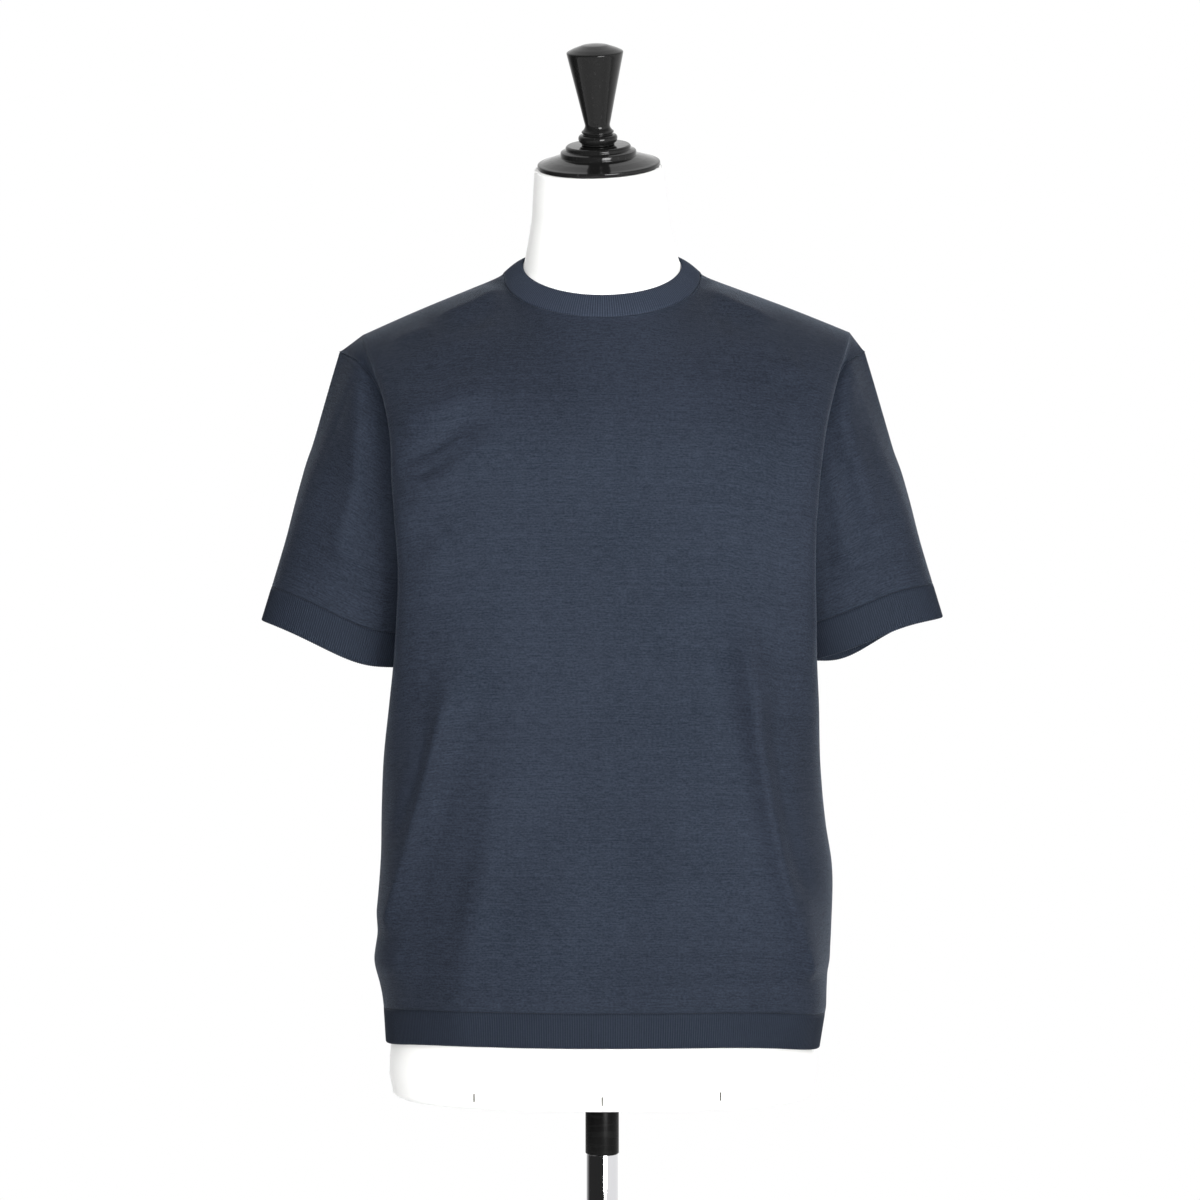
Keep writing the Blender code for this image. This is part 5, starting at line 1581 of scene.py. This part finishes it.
def turned(name, profile, reach, matrix=None):
    """A solid turned from a profile that runs from the middle of its top to that of its foot."""
    line = rounded(profile, reach)
    angle = turns_round(TURNED_STEPS)
    radius, height = line[1:-1, 0, None], line[1:-1, 1, None]
    rings = np.stack([radius * np.cos(angle), radius * np.sin(angle), height + 0 * angle], axis=-1)
    points = rings.reshape(-1, 3).tolist() + [(0.0, 0.0, line[0, 1]), (0.0, 0.0, line[-1, 1])]
    top, foot = len(points) - 2, len(points) - 1
    count = TURNED_STEPS
    last = (len(rings) - 1) * count
    faces = []
    for here in range(0, last, count):
        below = here + count
        for i in range(count):
            j = (i + 1) % count
            faces.append((here + i, here + j, below + j, below + i))
    faces += [(top, (i + 1) % count, i) for i in range(count)]
    faces += [(foot, last + i, last + (i + 1) % count) for i in range(count)]
    mesh = bpy.data.meshes.new(name)
    mesh.from_pydata(points, [], faces)
    if matrix is not None:
        mesh.transform(matrix)
    return solid(name, mesh)


def rod_profile(radius, bottom, top):
    return ((0, top), (radius, top), (radius, bottom), (0, bottom))


def leaning(degrees):
    """The turn of the neck where it leans forward by so many degrees."""
    roll = NECK_ROLL * degrees / NECK_TILT
    return Matrix.Rotation(math.radians(degrees), 4, "X") @ Matrix.Rotation(math.radians(-roll), 4, "Y")


def form_top(shirt_panel, rib, jersey):
    """The form's own neck and shoulder line, just under the shirt's."""
    c = columns()
    thickness = np.where(np.abs(c) <= NECK_SHARE + ROUNDING_ERROR, rib, jersey)[:, None]
    under = shirt_panel.points[-1] - shirt_panel.normals[-1] * (thickness + CLEARANCE)
    shoulder, fold = along_shoulder(c)
    line = under.copy()
    for side in (LEFT, RIGHT):
        mine = np.flatnonzero(np.sign(c) == side)
        mine = mine[np.argsort(np.abs(c[mine]))]
        x = side * under[mine, 0]
        neck_x, bend_x = x[NECK_COLUMNS - 1], x[NECK_COLUMNS - 1 + SHOULDER_COLUMNS]
        target = neck_x + (bend_x - neck_x) * FORM_BEND * shoulder[mine]
        for axis in range(3):
            line[mine, axis] = np.interp(target, x, under[mine, axis])
    tip = np.array(FORM_TIP) * np.stack([np.sign(c), 1 + 0 * c, 1 + 0 * c], axis=-1)
    line = line + (tip - line) * fold[:, None]
    return np.where((np.abs(c) <= NECK_SHARE)[:, None], under, line)


def form_halves(pieces, rib, jersey):
    """Grids of the form's front and back, from its bottom to its neck and shoulders."""
    low = np.linspace(FORM_FRONT[0].z, FORM_FRONT[2].z, FORM_FOOT_ROWS + 1)[:-1]
    levels = np.concatenate([low, np.linspace(FORM_FRONT[2].z, CHEST, FORM_ROWS)])
    halves = []
    for side, table, slopes in (("front", FORM_FRONT, FRONT_SLOPES), ("back", FORM_BACK, BACK_SLOPES)):
        top = form_top(pieces[f"shirt_{side}"], rib, jersey)
        facing = FACING[side]
        halves.append(panel(table, FORM_SIDE, NO_LIFT, slopes, facing, levels, (CHEST,), FORM_PULL, top))
    mean = (halves[0][-1] + halves[1][-1]) / 2
    shoulder = np.abs(columns()) >= NECK_SHARE
    for half in halves:
        half[-1][shoulder] = mean[shoulder]
    return halves


def form_neck(halves, collar, rib):
    """Rings of the form's neck, from under the collar's seam to its tilted top."""
    rings = [around(halves[0][-1:, NECK], halves[1][-1:, NECK])[0]]
    for row, normal in zip(collar.points[1:], collar.normals[1:]):
        rings.append(row - normal * (rib + CLEARANCE))
    angles = neck_angles()
    circle = np.stack([np.sin(angles), -np.cos(angles), 0 * angles], axis=-1)
    own = []
    for level in NECK_LEVELS:
        turn = np.array(leaning(level.tilt).to_3x3())
        own.append(level.half * circle @ turn.T + np.array([level.side, level.middle, level.z]))
    own = np.array([rings[-1], *own])
    top = len(own) - 1
    edge = top - NECK_EDGE_LEVELS
    below = np.linspace(0, edge, edge * NECK_STEPS + 1)[1:]
    above = np.linspace(edge, top, NECK_EDGE_LEVELS * NECK_EDGE_STEPS + 1)[1:]
    smooth = [
        curve(np.arange(top + 1), own.reshape(top + 1, -1), np.array([at]))[0].reshape(-1, 3)
        for at in np.concatenate([below, above])
    ]
    return np.array(rings + smooth)


COLOR = {"subtype": "COLOR", "size": 3, "min": 0.0, "max": 1.0}
POWER = {"unit": "POWER", "min": 0.0}


class ShirtSettings(bpy.types.PropertyGroup):
    """Sizes and colours of the shirt."""

    jersey: FloatProperty(
        name="Jersey thickness", description="Thickness of the jersey",
        default=0.0018, min=0.0005, unit="LENGTH",
    )
    rib: FloatProperty(
        name="Rib thickness", description="Thickness of the folded rib bands",
        default=0.0024, min=0.0005, unit="LENGTH",
    )
    creases: FloatProperty(
        name="Crease strength", description="Height of the small creases, against the full one",
        default=1.0, min=0.0, max=2.0, subtype="FACTOR",
    )
    rib_pitch: FloatProperty(
        name="Rib pitch", description="Width of one rib and the valley beside it",
        default=0.0021, min=0.0005, unit="LENGTH",
    )
    rib_depth: FloatProperty(
        name="Rib depth", description="Height of a rib over the valley beside it",
        default=0.0004, min=0.0, unit="LENGTH",
    )
    wale: FloatProperty(
        name="Wale", description="Width of one column of jersey stitches",
        default=0.0009, min=0.0002, unit="LENGTH",
    )
    course: FloatProperty(
        name="Course", description="Height of one row of stitches",
        default=0.0007, min=0.0002, unit="LENGTH",
    )
    stitch_pitch: FloatProperty(
        name="Stitch pitch", description="Distance between two stitches of a seam",
        default=0.0018, min=0.0005, unit="LENGTH",
    )
    navy: FloatVectorProperty(
        name="Jersey colour", description="Dark slate navy of the jersey",
        default=(0.0123, 0.0153, 0.0227), **COLOR,
    )
    navy_rib: FloatVectorProperty(
        name="Rib colour", description="Dark slate navy of the rib bands",
        default=(0.0100, 0.0126, 0.0188), **COLOR,
    )


class FormSettings(bpy.types.PropertyGroup):
    """Colours of the dress form."""

    cover: FloatVectorProperty(
        name="Cover colour", description="White of the form's stretch cover",
        default=(0.635, 0.635, 0.624), **COLOR,
    )
    marks: FloatVectorProperty(
        name="Mark colour", description="Thread of the short marks near the form's bottom",
        default=(0.050, 0.047, 0.032), **COLOR,
    )
    lacquer: FloatVectorProperty(
        name="Lacquer colour", description="Gloss black of the cap and the knob",
        default=(0.006, 0.006, 0.006), **COLOR,
    )


class StandSettings(bpy.types.PropertyGroup):
    """Colours of the stand."""

    plastic: FloatVectorProperty(
        name="Socket colour", description="Satin black of the socket",
        default=(0.0035, 0.0035, 0.0035), **COLOR,
    )
    chrome: FloatVectorProperty(
        name="Pole colour", description="Chrome of the pole",
        default=(0.80, 0.80, 0.82), **COLOR,
    )
    paint: FloatVectorProperty(
        name="Base colour", description="Powder coat of the base",
        default=(0.012, 0.012, 0.012), **COLOR,
    )


class StageSettings(bpy.types.PropertyGroup):
    """Camera, lights and floor."""

    lens: FloatProperty(
        name="Lens", description="Focal length in millimetres, on a 36 mm sensor",
        default=104.3, min=10.0,
    )
    distance: FloatProperty(
        name="Camera distance", description="From the camera to the middle of the form",
        default=3.2, min=0.5, unit="LENGTH",
    )
    height: FloatProperty(
        name="Camera height", description="Height of the level camera over the floor",
        default=1.157, min=0.0, unit="LENGTH",
    )
    key_light: FloatProperty(
        name="Key light", description="Power of the softbox at the front right",
        default=22.0, **POWER,
    )
    fill_light: FloatProperty(
        name="Fill light", description="Power of the softbox at the front left",
        default=6.5, **POWER,
    )
    front_light: FloatProperty(
        name="Front light", description="Power of the wide softbox by the camera",
        default=29.5, **POWER,
    )
    left_strip: FloatProperty(
        name="Left strip", description="Power of the upright strip at the left",
        default=2.1, **POWER,
    )
    right_strip: FloatProperty(
        name="Right strip", description="Power of the upright strip at the right",
        default=0.5, **POWER,
    )
    back_light: FloatProperty(
        name="Back light", description="Power of the softbox behind the form",
        default=26.0, **POWER,
    )
    backdrop: FloatProperty(
        name="Backdrop", description="Brightness of the white surround high behind the form",
        default=1.0, min=0.0,
    )
    room: FloatProperty(
        name="Room", description="Brightness of the dim room in front of the form",
        default=0.10, min=0.0,
    )
    floor: FloatVectorProperty(
        name="Floor colour", description="Pale floor",
        default=(0.90, 0.90, 0.90), **COLOR,
    )


class TSHIRT_OT_panels(bpy.types.Operator):
    """Make the front and the back of the shirt"""

    bl_idname = "tshirt.panels"
    bl_label = "Front and back"

    def execute(self, context):
        for side in FACING:
            jersey_piece(context.scene.tshirt, f"shirt_{side}", f"{side}_panel", (SEAM_ROUNDING,))
        return {"FINISHED"}


class TSHIRT_OT_sleeves(bpy.types.Operator):
    """Make the two sleeves"""

    bl_idname = "tshirt.sleeves"
    bl_label = "Sleeves"

    def execute(self, context):
        softness = (SEAM_ROUNDING, BAND_ROUNDING)
        for side in SLEEVES:
            jersey_piece(context.scene.tshirt, f"sleeve_{side}", f"{side}_sleeve", softness)
        return {"FINISHED"}


class TSHIRT_OT_bands(bpy.types.Operator):
    """Make the ribbed collar, hem and cuffs"""

    bl_idname = "tshirt.bands"
    bl_label = "Rib bands"

    def execute(self, context):
        settings = context.scene.tshirt
        pieces, _ = shirt_of(settings)
        group, names = rib_group()
        # The collar's rib is a lighter copy of the same rib: painted light.
        painted_light_rib = rib_finish(settings, "navy rib, stretched", COLLAR_PAINTED_LIGHT)
        plain_rib = rib_finish(settings, "navy rib", 1.0)
        for node, name, seam, rounding, material in (
            ("neck_rib", "collar", 0, COLLAR_ROUNDING, painted_light_rib),
            ("hem_band", "hem", -1, BAND_ROUNDING, plain_rib),
            ("cuff_band_left", "left_cuff", 0, BAND_ROUNDING, plain_rib),
            ("cuff_band_right", "right_cuff", 0, BAND_ROUNDING, plain_rib),
        ):
            base = self.band(pieces[node], name, seam, rounding, settings)
            values = {"Rib depth": settings.rib_depth, "Material": material}
            finished_cloth(grown(base, group, names, values), material, "rib", node)
        return {"FINISHED"}

    def band(self, ring, name, seam, rounding, settings):
        """A band before its ribs are raised. seam is the row that is sewn, and stays flat."""
        softness = [settings.rib / 2, settings.rib / 2]
        softness[seam] = rounding
        ribs = round(ring.way_round()[-1] / settings.rib_pitch)
        shape, outside = wall(ring.resampled(ribs * RIB_COLUMNS), softness)
        base = shape.make(name)
        # In the order of the wall's points: its outer and inner face, and its two rims
        rows, count = outside.shape
        face, rims = np.ones(rows), np.ones((2, len(RIM_TURNS)))
        face[seam] = 0
        rims[seam] = 0
        share = np.repeat(np.concatenate([face, face, rims.ravel()]), count)
        phase = np.resize(np.arange(count) / RIB_COLUMNS % 1, len(share))
        for label, data in (("rib_phase", phase), ("rib_share", share)):
            attribute = base.data.attributes.new(label, "FLOAT", "POINT")
            attribute.data.foreach_set("value", data)
        layer = base.data.uv_layers["cut"]
        places = np.zeros(2 * len(base.data.loops))
        layer.data.foreach_get("uv", places)
        places[0::2] *= ribs * settings.rib_pitch / places[0::2].max()
        layer.data.foreach_set("uv", places)
        return base


class TSHIRT_OT_seams(bpy.types.Operator):
    """Make the linked stitches that lie in every seam"""

    bl_idname = "tshirt.seams"
    bl_label = "Seam stitches"

    def execute(self, context):
        settings = context.scene.tshirt
        _, seams = shirt_of(settings)
        material = thread_finish(settings)
        line = bpy.data.curves.new("seam_stitches", "CURVE")
        line.dimensions = "3D"
        for (a, at, _), (b, bt, _) in seams:
            depth = BAND_STITCH_DEPTH if b.name in LOW_BANDS else STITCH_DEPTH
            points = (a.points[at] + b.points[bt]) / 2 - a.normals[at] * depth
            spline = line.splines.new("POLY")
            spline.points.add(len(points) - 1)
            flat = np.concatenate([points, np.ones((len(points), 1))], axis=1)
            spline.points.foreach_set("co", flat.ravel())
            spline.use_cyclic_u = a.ring and b.ring
        base = placed("seam_stitches", line)
        group, names = stitch_group()
        values = {
            "Stitch pitch": settings.stitch_pitch,
            "Stitch length": settings.stitch_pitch * STITCH_OVERLAP,
            "Stitch width": STITCH_WIDTH,
            "Material": material,
        }
        made = grown(base, group, names, values)
        if not len(made.data.polygons):
            raise RuntimeError("the seams have no stitches")
        finished(made, material, "rib")
        return {"FINISHED"}


class DRESSFORM_OT_body(bpy.types.Operator):
    """Make the covered form and the thread marks on it"""

    bl_idname = "dressform.body"
    bl_label = "Form"

    def execute(self, context):
        shirt, settings = context.scene.tshirt, context.scene.dressform
        pieces, _ = shirt_of(shirt)
        halves = form_halves(pieces, shirt.rib, shirt.jersey)
        neck = form_neck(halves, pieces["neck_rib"], shirt.rib)
        shape = Shape()
        loops = []
        for half in halves:
            index = shape.add(half)
            loops.append(index[0])
            shape.skin(index, np.zeros((*half.shape[:2], 2)))
        index = shape.add(neck)
        shape.skin(index, np.zeros((*neck.shape[:2], 2)), np.zeros(2))
        bottom = np.concatenate([loops[0], loops[1][-2:0:-1]])
        made = shape.make("form_cover", (bottom, index[-1]), MERGE_DISTANCE)
        made.data.set_sharp_from_angle(angle=math.radians(SHARP_EDGE))
        finished(made, cover_finish(settings), "form_cover", "form_torso")
        self.marks(settings)
        return {"FINISHED"}

    def marks(self, settings):
        """Short upright bars of thread that lie on the cover."""
        shape = bmesh.new()
        c = columns()[FOLD_COLUMNS:-FOLD_COLUMNS]
        for x, z in FORM_MARKS:
            for share in np.linspace(-0.5, 0.5, MARK_BEADS):
                at = z + share * MARK_LENGTH
                level = section(FORM_FRONT, FACING["front"], c, at + 0 * c, 0.0)
                y = np.interp(x, level[:, 0], level[:, 1])
                place = Matrix.Translation((x, y, at))
                squat = Matrix.Diagonal((MARK_WIDTH, MARK_RELIEF * 2, MARK_BEAD, 1))
                bmesh.ops.create_icosphere(shape, subdivisions=2, radius=0.5, matrix=place @ squat)
        mesh = bpy.data.meshes.new("form_marks")
        shape.to_mesh(mesh)
        shape.free()
        finished(solid("form_marks", mesh), mark_finish(settings), "form_cover")


class DRESSFORM_OT_cap(bpy.types.Operator):
    """Make the turned cap and knob on the form's neck"""

    bl_idname = "dressform.cap"
    bl_label = "Cap and knob"

    def execute(self, context):
        settings = context.scene.dressform
        level = NECK_LEVELS[-1]
        seat = Matrix.Translation(Vector((CAP_OFFSET, level.middle, level.z))) @ leaning(NECK_TILT)
        knob_foot = 2 * PART_GAP + CAP_PROFILE[0][1]
        lacquer = lacquer_finish(settings)
        for name, node, profile, reach, foot in (
            ("neck_cap", "form_neck_cap", CAP_PROFILE, CAP_ROUNDING, PART_GAP),
            ("neck_knob", "form_knob", KNOB_PROFILE, KNOB_ROUNDING, knob_foot),
        ):
            made = turned(name, profile, reach, seat @ Matrix.Translation((0, 0, foot)))
            finished(made, lacquer, "black_lacquer", node)
        return {"FINISHED"}


class DRESSFORM_OT_stand(bpy.types.Operator):
    """Make the socket, the pole and the round base"""

    bl_idname = "dressform.stand"
    bl_label = "Stand"

    def execute(self, context):
        settings = context.scene.dressform_stand
        foot = BASE_PROFILE[0][1] + PART_GAP
        socket = rod_profile(SOCKET_RADIUS, SOCKET_BOTTOM, FORM_BOTTOM - PART_GAP)
        pole = rod_profile(POLE_RADIUS, foot, SOCKET_BOTTOM - PART_GAP)
        made = turned("pole_socket", socket, SOCKET_ROUNDING)
        finished(made, plastic_finish(settings), "black_plastic", "stand_socket")
        made = turned("pole", pole, POLE_ROUNDING)
        finished(made, chrome_finish(settings), "chrome", "stand_pole")
        made = turned("round_base", BASE_PROFILE, BASE_ROUNDING)
        finished(made, paint_finish(settings), "black_paint", "stand_base")
        return {"FINISHED"}


class DRESSFORM_OT_stage(bpy.types.Operator):
    """Set up the floor, the lights, the white surround and the camera"""

    bl_idname = "dressform.stage"
    bl_label = "Stage"

    def execute(self, context):
        scene = context.scene
        settings = scene.dressform_stage
        self.floor(settings)
        self.softboxes(settings)
        scene.world = self.surround(settings)
        scene.camera = self.camera(settings)
        scene.view_settings.view_transform = "Standard"
        return {"FINISHED"}

    def floor(self, settings):
        shape = bmesh.new()
        bmesh.ops.create_circle(shape, cap_ends=True, radius=FLOOR_RADIUS, segments=FLOOR_SEGMENTS)
        mesh = bpy.data.meshes.new("floor")
        shape.to_mesh(mesh)
        shape.free()
        mesh.materials.append(floor_finish(settings))
        placed("floor", mesh)

    def softboxes(self, settings):
        for name, softbox in SOFTBOXES.items():
            light = bpy.data.lights.new(name, "AREA")
            light.spread = math.radians(softbox.spread)
            light.shape = "RECTANGLE"
            light.size, light.size_y = softbox.size
            light.energy = getattr(settings, name)
            lamp = placed(name, light)
            lamp.location = softbox.place
            aim = Vector(softbox.target) - Vector(softbox.place)
            lamp.rotation_euler = aim.to_track_quat("-Z", "Y").to_euler()
            lamp.visible_camera = False
            lamp.visible_glossy = softbox.mirrored

    def surround(self, settings):
        """White where it is seen, and a light that comes from above and behind the form."""
        world = bpy.data.worlds.new("white surround")
        world.use_nodes = True
        tree = Tree(world.node_tree)
        seen = tree.add("ShaderNodeLightPath")
        in_gloss = seen.output("Is Glossy Ray")
        x, y, z = tree.parts(tree.add("ShaderNodeTexCoord").output("Generated"))
        behind = (y * SURROUND_LEAN + z * SURROUND_LEAN).between(*SURROUND_RISE)
        room = settings.room * (1 - in_gloss * MIRRORED_DIMMING)
        strength = room + behind * (settings.backdrop - room)
        panel_right = x.between(*PANEL_SIDE) * (1 - z.size().between(*PANEL_HEIGHT))
        strength = strength + in_gloss * panel_right * PANEL_STRENGTH * (settings.backdrop - strength)
        strength = strength + seen * (1.0 - strength)
        world.node_tree.nodes.remove(world.node_tree.nodes["Background"])
        tree.show(tree.add("ShaderNodeBackground", None, {"Color": WHITE, "Strength": strength}))
        return world

    def camera(self, settings):
        lens = bpy.data.cameras.new("camera")
        lens.sensor_width = SENSOR_WIDTH
        lens.lens = settings.lens
        camera = placed("camera", lens)
        camera.location = (CAMERA_SIDE, -settings.distance, settings.height)
        camera.rotation_euler = (math.radians(90), 0.0, 0.0)
        return camera


class TSHIRT_PT_pieces(bpy.types.Panel):
    """Lists the pieces and their settings"""

    bl_label = "T-shirt on a dress form"
    bl_idname = "TSHIRT_PT_pieces"
    bl_space_type = "VIEW_3D"
    bl_region_type = "UI"
    bl_category = "T-shirt"

    def draw(self, context):
        scene = context.scene
        for group, operators in (
            (scene.tshirt, ("tshirt.panels", "tshirt.sleeves", "tshirt.bands", "tshirt.seams")),
            (scene.dressform, ("dressform.body", "dressform.cap")),
            (scene.dressform_stand, ("dressform.stand",)),
            (scene.dressform_stage, ("dressform.stage",)),
        ):
            box = self.layout.box()
            for name in group.bl_rna.properties.keys():
                if name not in ("rna_type", "name"):
                    box.prop(group, name)
            for operator in operators:
                box.operator(operator)


SETTINGS = {
    "tshirt": ShirtSettings,
    "dressform": FormSettings,
    "dressform_stand": StandSettings,
    "dressform_stage": StageSettings,
}
CLASSES = (
    *SETTINGS.values(),
    TSHIRT_OT_panels,
    TSHIRT_OT_sleeves,
    TSHIRT_OT_bands,
    TSHIRT_OT_seams,
    DRESSFORM_OT_body,
    DRESSFORM_OT_cap,
    DRESSFORM_OT_stand,
    DRESSFORM_OT_stage,
    TSHIRT_PT_pieces,
)


def register():
    for made in CLASSES:
        bpy.utils.register_class(made)
    for name, group in SETTINGS.items():
        setattr(bpy.types.Scene, name, PointerProperty(type=group))


def unregister():
    for name in SETTINGS:
        delattr(bpy.types.Scene, name)
    for made in reversed(CLASSES):
        bpy.utils.unregister_class(made)


def main():
    register()
    bpy.ops.tshirt.panels()
    bpy.ops.tshirt.sleeves()
    bpy.ops.tshirt.bands()
    bpy.ops.tshirt.seams()
    bpy.ops.dressform.body()
    bpy.ops.dressform.cap()
    bpy.ops.dressform.stand()
    bpy.ops.dressform.stage()


if __name__ == "__main__":
    main()
